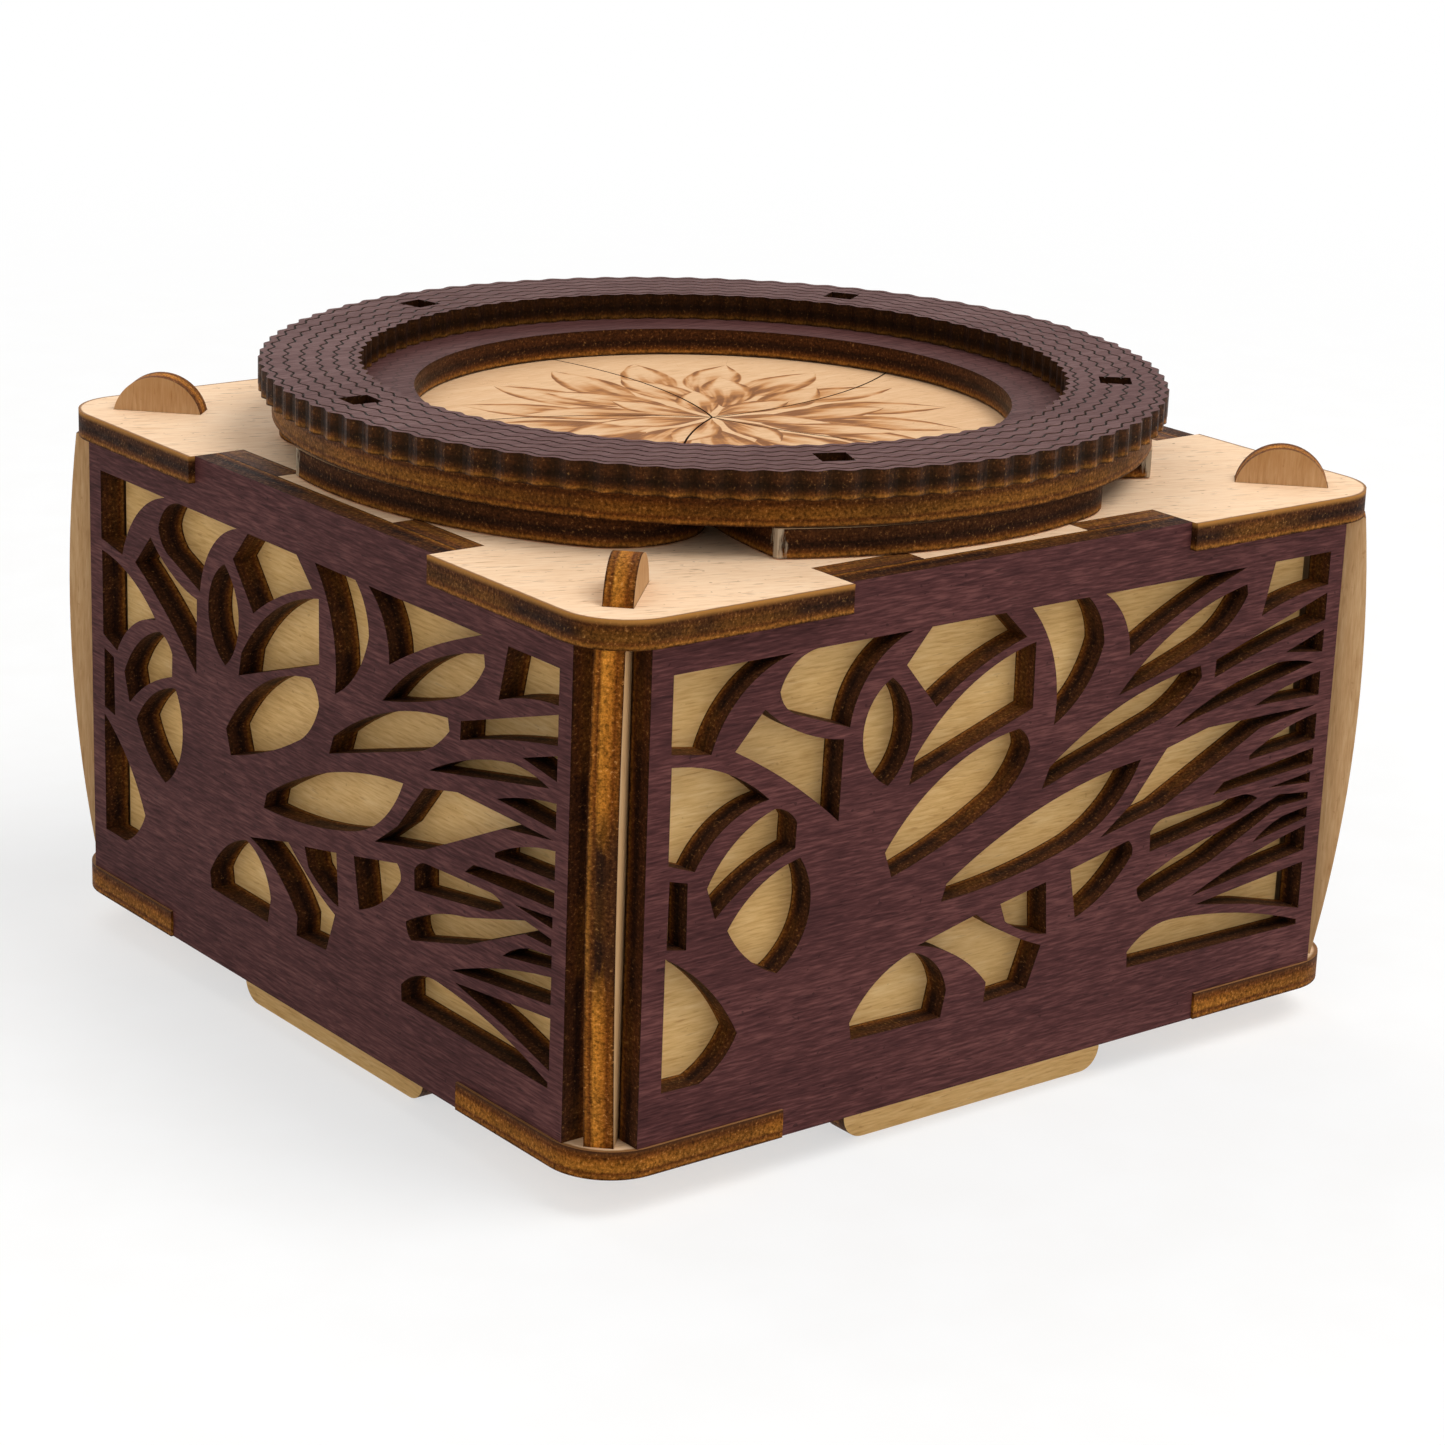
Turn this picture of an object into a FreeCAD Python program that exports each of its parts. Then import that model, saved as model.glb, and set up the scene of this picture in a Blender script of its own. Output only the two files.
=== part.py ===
import FreeCAD, Part
import math
import os
from types import SimpleNamespace

import Sketcher
from FreeCAD import Placement, Rotation, Vector

# Square plywood box whose lid is a flat iris of five blades, opened by twisting a ring.
# Frame: millimetres, +Z up, origin on the floor under the middle of the box. The front is -Y.
# Every piece is cut from one sheet thickness, apart from the posts and pins of the iris.

SHEET_NAME = "Sizes"

SIZES = (
    ("sheet_thickness", 3.0, "plywood sheet"),
    ("glue_gap", 0.05, "room around a glued tab, post or pin"),
    ("plate_half", 53.0, "middle of a plate to its edge"),
    ("plate_corner", 7.0, "corner radius of a plate"),
    ("bottom_back", 0.5, "how far the bottom plate's edge lies inside the top plate's"),
    ("box_height", 57.0, "underside of the bottom plate to top of the top plate"),
    ("foot_drop", 4.3, "feet below the bottom plate"),
    ("foot_half", 18.0, "half length of a foot"),
    ("foot_round", 2.6, "radius of a foot's lower corners"),
    ("panel_inset", 0.8, "plate edge to the face of a fretted panel"),
    ("panel_short", 6.1, "plate edge to the end of a fretted panel"),
    ("backing_short", 9.1, "plate edge to the end of a backing panel"),
    ("top_tab_half", 23.15, "middle to the outer end of the top tabs"),
    ("top_gap_half", 11.15, "middle to the inner end of a backing's top tabs"),
    ("bottom_tab_half", 28.8, "half length of a fretted panel's bottom tab"),
    ("fin_depth", 14.25, "plate tip to the inner edge of a corner fin"),
    ("fin_tenon", 10.0, "length of a fin's tenons"),
    ("fin_top_proud", 0.15, "a fin's outer edge beyond the plate tip, under the top plate"),
    ("fin_bottom_back", 1.65, "a fin's outer edge inside the plate tip, over the bottom plate"),
    ("fin_bow", 1.9, "bulge of a fin's outer edge"),
    ("cap_rise", 4.0, "height of a fin's cap over the top plate"),
    ("mouth_margin", 17.5, "plate edge to the round hole of the top plate"),
    ("grip_margin", 3.0, "plate edge to the crests of the grip ring"),
    ("grip_width", 11.3, "grip ring from outer to inner crests"),
    ("scallop_count", 90, "scallops round the grip ring"),
    ("outer_scallop", 0.6, "depth of the outer scallops"),
    ("inner_scallop", 0.5, "depth of the inner scallops"),
    ("middle_margin", 4.5, "plate edge to the middle ring"),
    ("middle_width", 15.5, "middle ring from outer to inner edge"),
    ("layer_gap", 0.15, "running room between the blades and the layers over and under them"),
    ("running_fit", 0.07, "running room round a post or pin"),
    ("blade_count", 5, "blades, posts and pins"),
    ("pivot_margin", 8.8, "plate edge to the circle of the posts"),
    ("pivot_phase", 32.0, "angle of the first post"),
    ("iris_travel", 21.0, "turn of the ring from shut to open"),
    ("rim_margin", 5.0, "plate edge to the circle of the blades' outer edges"),
    ("rim_shift", 1.0, "how far the centre of that edge lies off the box axis"),
    ("rim_shift_angle", -60.0, "direction of that shift, from the blade's post"),
    ("blade_round", 10.0, "radius of a blade's rounded outer corner"),
    ("seam_gap", 0.24, "room between two blades"),
    ("post_side", 4.4, "side of a post's square head"),
    ("post_sunk", 1.2, "top of a post under the top of the grip ring"),
    ("journal_radius", 1.6, "round part of a post"),
    ("post_end_gap", 0.3, "lower end of a post over the underside of the top plate"),
    ("flange_radius", 2.7, "flange of a post"),
    ("flange_height", 1.0, "thickness of that flange"),
    ("flange_room", 0.25, "room round and over that flange in the blade"),
    ("guide_margin", 10.8, "plate edge to the circle of the guide pins"),
    ("guide_angle", 43.0, "angle from a post to its guide pin when shut"),
    ("pin_radius", 1.5, "shank of a guide pin"),
    ("pin_head_radius", 2.7, "head of a guide pin"),
    ("pin_head_height", 1.6, "thickness of that head"),
    ("pin_head_bevel", 0.6, "bevel of that head"),
    ("pin_head_room", 0.3, "room round that head in the middle ring"),
)

FULL_TURN = 360.0
SIDES = ("front", "right", "back", "left")
CORNERS = ("front_right", "back_right", "back_left", "front_left")
QUARTER_TURN = FULL_TURN / len(SIDES)
FIRST_CORNER_ANGLE = -QUARTER_TURN / 2
DIAGONAL = math.sqrt(2)

# Where the corners of a scallop's crest lie along its pitch.
FLAT_CREST = (0.3, 0.7)
SHARP_CREST = (0.5,)

# The fretwork was drawn on a panel of this half width in a box of this height.
DRAWN_PANEL_HALF = 46.9
DRAWN_BOX_HEIGHT = 57.0

# Openings of the fretwork seen from outside, anticlockwise: x from the middle of the panel, height
# over the underside of the bottom plate, and the bow of the edge that follows (outward is positive).
LEFT_BRANCHES = (
    ((-44.3, 50.9, 0), (-44.3, 43.0, 0), (-39.5, 42.2, -1.8), (-29.7, 50.9, 0)),
    ((-26.8, 50.9, 0.9), (-31.3, 47.2, 0.5), (-29.0, 44.5, 0), (-22.3, 42.1, -1.8), (-14.5, 50.9, 0)),
    ((-33.1, 45.7, 0), (-36.6, 42.0, -0.5), (-23.2, 32.5, 0), (-23.0, 41.0, -0.85)),
    ((-44.2, 41.7, 0), (-44.2, 31.8, 0), (-41.0, 30.6, -1.3), (-32.1, 36.4, 1.1)),
    ((-31.3, 35.3, 1.1), (-39.4, 28.6, 0), (-38.3, 25.2, -0.7), (-28.6, 30.7, 0), (-28.5, 33.4, 0.4)),
    ((-27.9, 29.6, 1.1), (-36.7, 23.7, 0.8), (-30.3, 17.9, 2.65)),
    ((-44.0, 30.2, 0), (-44.1, 23.2, 0), (-41.7, 22.7, 0), (-41.8, 29.6, 0)),
    ((-44.2, 22.3, 0), (-44.2, 8.3, 0), (-39.6, 8.2, 0.6), (-35.0, 12.6, 1.0)),
    ((-17.1, 46.4, 3.5), (-17.0, 35.1, 2.9)),
)
TRUNK_AND_BOUGHS = (
    ((-12.7, 16.4, 1.0), (-20.5, 10.4, 0), (-20.2, 8.5, 0), (-8.2, 8.3, 0), (-7.6, 11.2, 1.1)),
    ((-4.0, 18.8, 0), (-11.9, 17.0, -1.0), (-2.1, 10.9, 0), (-2.3, 8.7, 0), (3.7, 9.0, 0), (5.4, 13.5, -0.4)),
    ((5.6, 20.5, 0), (-0.7, 19.3, 0), (0.1, 17.2, 0.4), (6.1, 14.6, 0)),
    ((17.2, 22.9, 0), (9.0, 21.2, 0), (10.1, 15.6, 0.75), (17.9, 21.2, 0.3)),
    ((18.2, 31.8, 1.7), (-8.4, 23.0, 0), (-9.0, 21.2, 0.6), (9.0, 23.9, 1.3)),
    ((0.4, 38.2, 2.2), (-16.9, 28.0, 0), (-15.9, 25.2, 0.5), (-1.5, 31.0, 0.5), (2.1, 35.6, 0.4)),
    ((2.0, 47.2, 1.8), (-13.6, 37.4, 0), (-14.2, 34.7, 0), (2.1, 40.1, 0)),
    ((-2.4, 50.9, 0), (-12.2, 50.9, 0), (-15.3, 47.4, 0), (-11.1, 42.4, -0.6), (0.7, 47.9, 0)),
    ((9.0, 50.9, 0), (1.2, 50.9, -1.55), (5.2, 37.8, 1.1), (11.6, 45.6, 0.6)),
    ((32.0, 50.9, 0), (11.4, 50.9, -1.1), (15.4, 43.6, -0.5)),
    ((32.2, 49.0, 1.65), (14.2, 39.5, 0.25), (26.5, 43.0, 0.7), (32.4, 47.8, 0)),
    ((26.1, 40.9, 1.5), (5.0, 33.2, 0), (4.1, 31.0, 0), (21.0, 36.0, 0.4), (26.4, 39.6, 0)),
)
RIGHT_BRANCHES = (
    ((22.0, 32.4, 0), (17.3, 27.0, 0), (13.0, 24.0, 0), (22.0, 25.8, 0), (36.0, 32.3, 0),
     (44.6, 33.6, 0), (28.0, 33.7, 0)),
    ((44.8, 46.3, 0), (28.4, 41.2, 0), (28.3, 39.2, -0.3), (44.8, 43.2, 0)),
    ((44.8, 50.9, 0), (36.3, 50.9, 0), (34.8, 45.1, -0.4), (44.8, 47.2, 0)),
    ((43.6, 38.6, 0.25), (37.5, 39.4, 0.7), (22.8, 34.5, 0)),
    ((44.8, 42.2, 0), (39.0, 40.4, 0), (44.8, 39.6, 0)),
    ((44.8, 37.4, 0.3), (34.8, 35.0, 0), (44.8, 34.7, 0)),
    ((44.8, 32.6, 0.5), (34.7, 29.4, 0), (34.7, 28.9, 0), (44.8, 29.6, 0)),
    ((44.8, 28.6, 0), (31.0, 27.0, 0), (29.5, 25.8, 0), (44.8, 26.7, 0)),
    ((33.5, 25.0, 0), (22.5, 24.5, 0.3), (20.4, 23.2, 0), (20.5, 21.0, 0), (34.0, 23.0, 0),
     (36.5, 24.2, 0.3)),
    ((44.5, 23.5, 0), (40.0, 24.0, 0), (30.0, 21.1, 0.55), (19.0, 17.2, 0.3), (20.0, 15.4, 0),
     (30.0, 18.2, 0), (40.0, 22.6, 0), (44.5, 22.7, 0)),
    ((44.6, 25.8, 0), (38.1, 25.1, 0), (44.6, 24.6, 0)),
    ((44.6, 21.8, 0), (41.0, 21.4, 0.3), (36.3, 19.1, 0), (44.6, 20.5, 0)),
    ((44.6, 19.6, 0.5), (27.3, 14.6, 0), (44.6, 16.7, 0)),
    ((44.6, 15.3, 0), (28.0, 13.5, 0), (36.5, 11.9, 0), (44.6, 9.8, 0)),
    ((44.4, 8.5, 0.7), (25.0, 12.5, 0.8), (18.2, 10.0, 0), (18.3, 8.2, 0), (44.4, 7.9, 0)),
)
FRETWORK = LEFT_BRANCHES + TRUNK_AND_BOUGHS + RIGHT_BRANCHES


class Size:
    """A measure together with the sheet formula that gives it."""

    def __init__(self, value, formula):
        self.value = value
        self.formula = formula

    def joined(self, other, sign, value):
        return Size(value, f"({self.formula} {sign} {as_size(other).formula})")

    def __add__(self, other):
        return self.joined(other, "+", self.value + as_size(other).value)

    def __sub__(self, other):
        return self.joined(other, "-", self.value - as_size(other).value)

    def __mul__(self, other):
        return self.joined(other, "*", self.value * as_size(other).value)

    def __truediv__(self, other):
        return self.joined(other, "/", self.value / as_size(other).value)

    def __neg__(self):
        return Size(-self.value, f"(-{self.formula})")


def as_size(number):
    """Takes a plain number as a size of its own."""
    return number if isinstance(number, Size) else Size(number, f"({number})")


def write_sheet(document):
    """Fills the sheet with the driving sizes and hands them back by name."""
    sheet = document.addObject("Spreadsheet::Sheet", SHEET_NAME)
    for row, (alias, value, meaning) in enumerate(SIZES, start=1):
        sheet.set(f"A{row}", meaning)
        sheet.set(f"B{row}", str(value))
        sheet.setAlias(f"B{row}", alias)
    document.recompute()
    return SimpleNamespace(**{
        alias: Size(float(getattr(sheet, alias)), f"{SHEET_NAME}.{alias}") for alias, _, _ in SIZES
    })


doc = FreeCAD.newDocument("IrisBox")
size = write_sheet(doc)

# Levels of the layers, from the floor up.
bottom_underside = size.foot_drop
bottom_top = bottom_underside + size.sheet_thickness
deck_top = bottom_underside + size.box_height
deck_underside = deck_top - size.sheet_thickness
blade_bottom = deck_top + size.layer_gap
blade_top = blade_bottom + size.sheet_thickness
middle_bottom = blade_top + size.layer_gap
grip_bottom = middle_bottom + size.sheet_thickness
grip_top = grip_bottom + size.sheet_thickness

# Walls, from the box axis out.
fretted_inner = size.plate_half - size.panel_inset - size.sheet_thickness
backing_inner = fretted_inner - size.sheet_thickness
panel_half = size.plate_half - size.panel_short
backing_half = size.plate_half - size.backing_short

# Fins, along a diagonal from the box axis out to the rounded tip of the plates.
plate_tip = (size.plate_half - size.plate_corner) * DIAGONAL + size.plate_corner
fin_inner = plate_tip - size.fin_depth
fin_tenon_end = fin_inner + size.fin_tenon
fin_top_reach = plate_tip + size.fin_top_proud
fin_bottom_reach = plate_tip - size.fin_bottom_back

# Circles of the iris.
mouth_radius = size.plate_half - size.mouth_margin
grip_radius = size.plate_half - size.grip_margin
grip_inner = grip_radius - size.grip_width
middle_radius = size.plate_half - size.middle_margin
middle_inner = middle_radius - size.middle_width
pivot_radius = size.plate_half - size.pivot_margin
blade_rim = size.plate_half - size.rim_margin
guide_radius = size.plate_half - size.guide_margin
blade_count = round(size.blade_count.value)
blade_step = FULL_TURN / blade_count


def polar(radius, degrees):
    """A point of the XY plane."""
    return Vector(radius * math.cos(math.radians(degrees)), radius * math.sin(math.radians(degrees)), 0)


def new_body(name, turn=0.0, level=None):
    """A body turned about the box axis and, with a level, raised to it."""
    body = doc.addObject("PartDesign::Body", name)
    body.Label = name
    body.Placement = Placement(Vector(), Rotation(Vector(0, 0, 1), turn))
    if level is not None:
        body.setExpression("Placement.Base.z", level.formula)
    return body


def origin_feature(body, role):
    return next(feature for feature in body.Origin.OriginFeatures if feature.Role == role)


def new_sketch(body, name, plane="XY_Plane", offset=None, turn=0.0):
    """A sketch on one of the body's own planes, moved along its normal or turned about it."""
    sketch = body.newObject("Sketcher::SketchObject", name)
    sketch.AttachmentSupport = [(origin_feature(body, plane), "")]
    sketch.MapMode = "FlatFace"
    sketch.AttachmentOffset = Placement(Vector(), Rotation(Vector(0, 0, 1), turn))
    if offset is not None:
        sketch.setExpression("AttachmentOffset.Base.z", offset.formula)
    return sketch


def bind(sketch, kind, places, measure):
    """Adds a constraint whose value follows the sheet."""
    index = sketch.addConstraint(Sketcher.Constraint(kind, *places, measure.value))
    sketch.setExpression(f"Constraints[{index}]", measure.formula)


def draw_loop(sketch, corners):
    """Draws a closed anticlockwise outline of plain numbers and lists its edges with their ends."""
    edges = []
    for (x, y, bow), (next_x, next_y, _) in zip(corners, corners[1:] + corners[:1]):
        start = Vector(x, y, 0)
        end = Vector(next_x, next_y, 0)
        if bow == 0:
            edges.append((sketch.addGeometry(Part.LineSegment(start, end)), 1, 2))
            continue
        chord = end - start
        outward = Vector(chord.y, -chord.x, 0).normalize()
        crest = (start + end) / 2 + outward * bow
        if bow > 0:
            edges.append((sketch.addGeometry(Part.Arc(start, crest, end)), 1, 2))
        else:
            edges.append((sketch.addGeometry(Part.Arc(end, crest, start)), 2, 1))
    return edges


def bound_loop(sketch, corners):
    """Draws a closed outline whose corners and bows are sizes, each bound to the sheet."""
    corners = [tuple(as_size(part) for part in (*corner, 0)[:3]) for corner in corners]
    edges = draw_loop(sketch, [tuple(part.value for part in corner) for corner in corners])
    following = edges[1:] + edges[:1]
    for (edge, _, end), (next_edge, next_start, _) in zip(edges, following):
        sketch.addConstraint(Sketcher.Constraint("Coincident", edge, end, next_edge, next_start))
    for (edge, start, _), corner, next_corner in zip(edges, corners, corners[1:] + corners[:1]):
        x, y, bow = corner
        bind(sketch, "DistanceX", (edge, start), x)
        bind(sketch, "DistanceY", (edge, start), y)
        if bow.value != 0:
            chord_x = next_corner[0] - x
            chord_y = next_corner[1] - y
            half_chord_squared = (chord_x * chord_x + chord_y * chord_y) / 4
            bind(sketch, "Radius", (edge,), (half_chord_squared + bow * bow) / (bow * 2))


def bound_rectangle(sketch, low_x, low_y, high_x, high_y):
    bound_loop(sketch, [(low_x, low_y), (high_x, low_y), (high_x, high_y), (low_x, high_y)])


def bound_circle(sketch, radius, x=None):
    """Draws a circle round the origin, or round a point of the X axis."""
    centre = Vector(0 if x is None else x.value, 0, 0)
    circle = sketch.addGeometry(Part.Circle(centre, Vector(0, 0, 1), radius.value))
    if x is None:
        sketch.addConstraint(Sketcher.Constraint("Coincident", circle, 3, -1, 1))
    else:
        sketch.addConstraint(Sketcher.Constraint("PointOnObject", circle, 3, -1))
        bind(sketch, "DistanceX", (circle, 3), x)
    bind(sketch, "Radius", (circle,), radius)


def add_arc(sketch, centre, start, end):
    """Draws the anticlockwise arc from start to end."""
    circle = Part.Circle(centre, Vector(0, 0, 1), (start - centre).Length)
    angles = [math.atan2(point.y - centre.y, point.x - centre.x) for point in (start, end)]
    sketch.addGeometry(Part.ArcOfCircle(circle, *angles))


def draw_arc_slot(sketch, centre, radius, start, end, half_width):
    """Draws a round-ended slot along an arc, from one angle to another."""
    inner = [centre + polar(radius - half_width, angle) for angle in (start, end)]
    outer = [centre + polar(radius + half_width, angle) for angle in (start, end)]
    add_arc(sketch, centre, outer[0], outer[1])
    add_arc(sketch, centre + polar(radius, end), outer[1], inner[1])
    add_arc(sketch, centre, inner[0], inner[1])
    add_arc(sketch, centre + polar(radius, start), inner[0], outer[0])


def draw_scallops(sketch, crest_radius, dip_radius, crest_shares):
    """Draws a ring's edge as a row of scallops; the shares place the crest's corners along the pitch."""
    count = round(size.scallop_count.value)
    pitch = FULL_TURN / count
    corners = []
    for index in range(count):
        corners.append(polar(dip_radius, index * pitch))
        corners.extend(polar(crest_radius, (index + share) * pitch) for share in crest_shares)
    draw_loop(sketch, [(corner.x, corner.y, 0) for corner in corners])


def meeting_point(first_centre, first_radius, second_centre, second_radius, near):
    """Where two circles cross, on the side of a given point."""
    between = second_centre - first_centre
    span = between.Length
    along = (span ** 2 + first_radius ** 2 - second_radius ** 2) / (2 * span)
    across = math.sqrt(first_radius ** 2 - along ** 2)
    forward = between / span
    sideways = Vector(-forward.y, forward.x, 0)
    middle = first_centre + forward * along
    crossings = (middle + sideways * across, middle - sideways * across)
    return min(crossings, key=near.distanceToPoint)


def add_pad(body, sketch, length, both_ways=False):
    pad = body.newObject("PartDesign::Pad", "Pad")
    pad.Profile = sketch
    pad.setExpression("Length", length.formula)
    if both_ways:
        pad.SideType = "Symmetric"
    return pad


def add_cut(body, sketch, depth=None):
    """Cuts along the sketch's normal, right through unless a depth is given."""
    cut = body.newObject("PartDesign::Pocket", "Cut")
    cut.Profile = sketch
    cut.Reversed = True
    if depth is None:
        cut.Type = "ThroughAll"
    else:
        cut.setExpression("Length", depth.formula)
    return cut


def repeat_around(body, cut, count):
    """Repeats a cut round the body's Z axis."""
    pattern = body.newObject("PartDesign::PolarPattern", "Around")
    pattern.Originals = [cut]
    pattern.Axis = (origin_feature(body, "Z_Axis"), [""])
    pattern.Angle = FULL_TURN
    pattern.Occurrences = count
    body.Tip = pattern


def ease_edges(body, base, amount, chosen, kind="Fillet", measure="Radius"):
    """Rounds, or bevels, the edges of the base feature that a test picks."""
    doc.recompute()
    names = [f"Edge{number}" for number, edge in enumerate(base.Shape.Edges, start=1) if chosen(edge)]
    eased = body.newObject(f"PartDesign::{kind}", "Eased")
    eased.Base = (base, names)
    eased.setExpression(measure, amount.formula)


def is_upright(edge):
    return math.isclose(edge.BoundBox.ZLength, edge.Length)


def new_plate(name, level, reach, notch):
    """A rounded square plate with the same stepped notch in all four edges and four fin slots."""
    body = new_body(name, level=level)
    outline = new_sketch(body, "Outline")
    bound_rectangle(outline, -reach, -reach, reach, reach)
    square = add_pad(body, outline, size.sheet_thickness)
    ease_edges(body, square, size.plate_corner, is_upright)
    notches = new_sketch(body, "Notch")
    bound_loop(notches, notch)
    repeat_around(body, add_cut(body, notches), len(SIDES))
    slot = new_sketch(body, "FinSlot", turn=FIRST_CORNER_ANGLE)
    half_width = size.sheet_thickness / 2 + size.glue_gap
    slot_start = fin_inner - size.glue_gap
    slot_end = fin_tenon_end + size.glue_gap
    bound_rectangle(slot, slot_start, -half_width, slot_end, half_width)
    repeat_around(body, add_cut(body, slot), len(CORNERS))
    return body


def top_plate():
    """The deck: notched for the wall tabs, open in the middle, slotted for posts, drilled for pins."""
    outside = -(size.plate_half + size.sheet_thickness)
    shallow = -fretted_inner + size.glue_gap
    deep = -backing_inner + size.glue_gap
    outer_end = size.top_tab_half + size.glue_gap
    inner_end = size.top_gap_half - size.glue_gap
    notch = [
        (-outer_end, outside), (outer_end, outside), (outer_end, deep), (inner_end, deep),
        (inner_end, shallow), (-inner_end, shallow), (-inner_end, deep), (-outer_end, deep),
    ]
    body = new_plate("top_plate", deck_underside, size.plate_half, notch)
    mouth = new_sketch(body, "Mouth")
    bound_circle(mouth, mouth_radius)
    add_cut(body, mouth)
    slot = new_sketch(body, "PostSlot", turn=size.pivot_phase.value)
    half_width = size.journal_radius.value + size.running_fit.value
    draw_arc_slot(slot, Vector(), pivot_radius.value, 0, size.iris_travel.value, half_width)
    repeat_around(body, add_cut(body, slot), blade_count)
    pin_hole = new_sketch(body, "PinHole", turn=size.pivot_phase.value + size.guide_angle.value)
    bound_circle(pin_hole, size.pin_radius + size.glue_gap, guide_radius)
    repeat_around(body, add_cut(body, pin_hole), blade_count)


def bottom_plate():
    """The floor of the box, notched for the bottom tabs and, deeper, for the feet."""
    outside = -(size.plate_half + size.sheet_thickness)
    shallow = -fretted_inner + size.glue_gap
    deep = -backing_inner + size.glue_gap
    tab_end = size.bottom_tab_half + size.glue_gap
    foot_end = size.foot_half + size.glue_gap
    notch = [
        (-tab_end, outside), (tab_end, outside), (tab_end, shallow), (foot_end, shallow),
        (foot_end, deep), (-foot_end, deep), (-foot_end, shallow), (-tab_end, shallow),
    ]
    new_plate("bottom_plate", bottom_underside, size.plate_half - size.bottom_back, notch)


def fretted_panel(side, turn):
    """An outer wall: one tab up, one tab down, and the branching fretwork cut through."""
    body = new_body(f"fretted_panel_{side}", turn)
    outline = new_sketch(body, "Outline", "XZ_Plane", fretted_inner)
    half, upper, lower = panel_half, size.top_tab_half, size.bottom_tab_half
    bound_loop(outline, [
        (-lower, bottom_underside), (lower, bottom_underside), (lower, bottom_top), (half, bottom_top),
        (half, deck_underside), (upper, deck_underside), (upper, deck_top), (-upper, deck_top),
        (-upper, deck_underside), (-half, deck_underside), (-half, bottom_top), (-lower, bottom_top),
    ])
    add_pad(body, outline, size.sheet_thickness)
    openings = new_sketch(body, "Fretwork", "XZ_Plane", fretted_inner)
    stretch = panel_half.value / DRAWN_PANEL_HALF
    rise = size.box_height.value / DRAWN_BOX_HEIGHT
    for opening in FRETWORK:
        draw_loop(openings, [
            (x * stretch, bottom_underside.value + height * rise, bow * rise) for x, height, bow in opening
        ])
    add_cut(body, openings)


def backing_panel(side, turn):
    """A plain wall behind the fretwork: two tabs up and one rounded foot down."""
    body = new_body(f"backing_panel_{side}", turn)
    outline = new_sketch(body, "Outline", "XZ_Plane", backing_inner)
    half, foot, outer, inner = backing_half, size.foot_half, size.top_tab_half, size.top_gap_half
    floor = as_size(0)
    bound_loop(outline, [
        (-foot, floor), (foot, floor), (foot, bottom_top), (half, bottom_top), (half, deck_underside),
        (outer, deck_underside), (outer, deck_top), (inner, deck_top), (inner, deck_underside),
        (-inner, deck_underside), (-inner, deck_top), (-outer, deck_top), (-outer, deck_underside),
        (-half, deck_underside), (-half, bottom_top), (-foot, bottom_top),
    ])
    wall = add_pad(body, outline, size.sheet_thickness)

    def is_foot_corner(edge):
        across = math.isclose(edge.BoundBox.YLength, edge.Length)
        return across and edge.BoundBox.ZMax < size.foot_round.value / 2

    ease_edges(body, wall, size.foot_round, is_foot_corner)


def corner_fin(corner, turn):
    """An upright fin on a diagonal: a bowed outer edge, a tenon in each plate and a half-round cap."""
    body = new_body(f"corner_fin_{corner}", turn)
    outline = new_sketch(body, "Outline", "XZ_Plane")
    bound_loop(outline, [
        (fin_inner, bottom_underside), (fin_tenon_end, bottom_underside), (fin_tenon_end, bottom_top),
        (fin_bottom_reach, bottom_top, size.fin_bow), (fin_top_reach, deck_underside),
        (fin_tenon_end, deck_underside), (fin_tenon_end, deck_top, size.cap_rise), (fin_inner, deck_top),
    ])
    add_pad(body, outline, size.sheet_thickness, both_ways=True)


def grip_ring():
    """The ring that is twisted: scalloped outside and inside, with a square hole for each post."""
    body = new_body("grip_ring", level=grip_bottom)
    edges = new_sketch(body, "Edges")
    outer, inner = grip_radius.value, grip_inner.value
    draw_scallops(edges, outer, outer - size.outer_scallop.value, FLAT_CREST)
    draw_scallops(edges, inner, inner + size.inner_scallop.value, SHARP_CREST)
    add_pad(body, edges, size.sheet_thickness)
    cut_post_holes(body)


def middle_ring():
    """The ring under the grip ring, with square post holes and room for the heads of the guide pins."""
    body = new_body("middle_ring", level=middle_bottom)
    edges = new_sketch(body, "Edges")
    bound_circle(edges, middle_radius)
    bound_circle(edges, middle_inner)
    add_pad(body, edges, size.sheet_thickness)
    cut_post_holes(body)
    slot = new_sketch(body, "HeadSlot", turn=size.pivot_phase.value)
    half_width = size.pin_head_radius.value + size.pin_head_room.value
    end = size.guide_angle.value
    draw_arc_slot(slot, Vector(), guide_radius.value, end - size.iris_travel.value, end, half_width)
    repeat_around(body, add_cut(body, slot), blade_count)


def cut_post_holes(body):
    hole = new_sketch(body, "PostHole", turn=size.pivot_phase.value)
    half = size.post_side / 2 + size.glue_gap
    bound_rectangle(hole, pivot_radius - half, -half, pivot_radius + half, half)
    repeat_around(body, add_cut(body, hole), blade_count)


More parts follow.
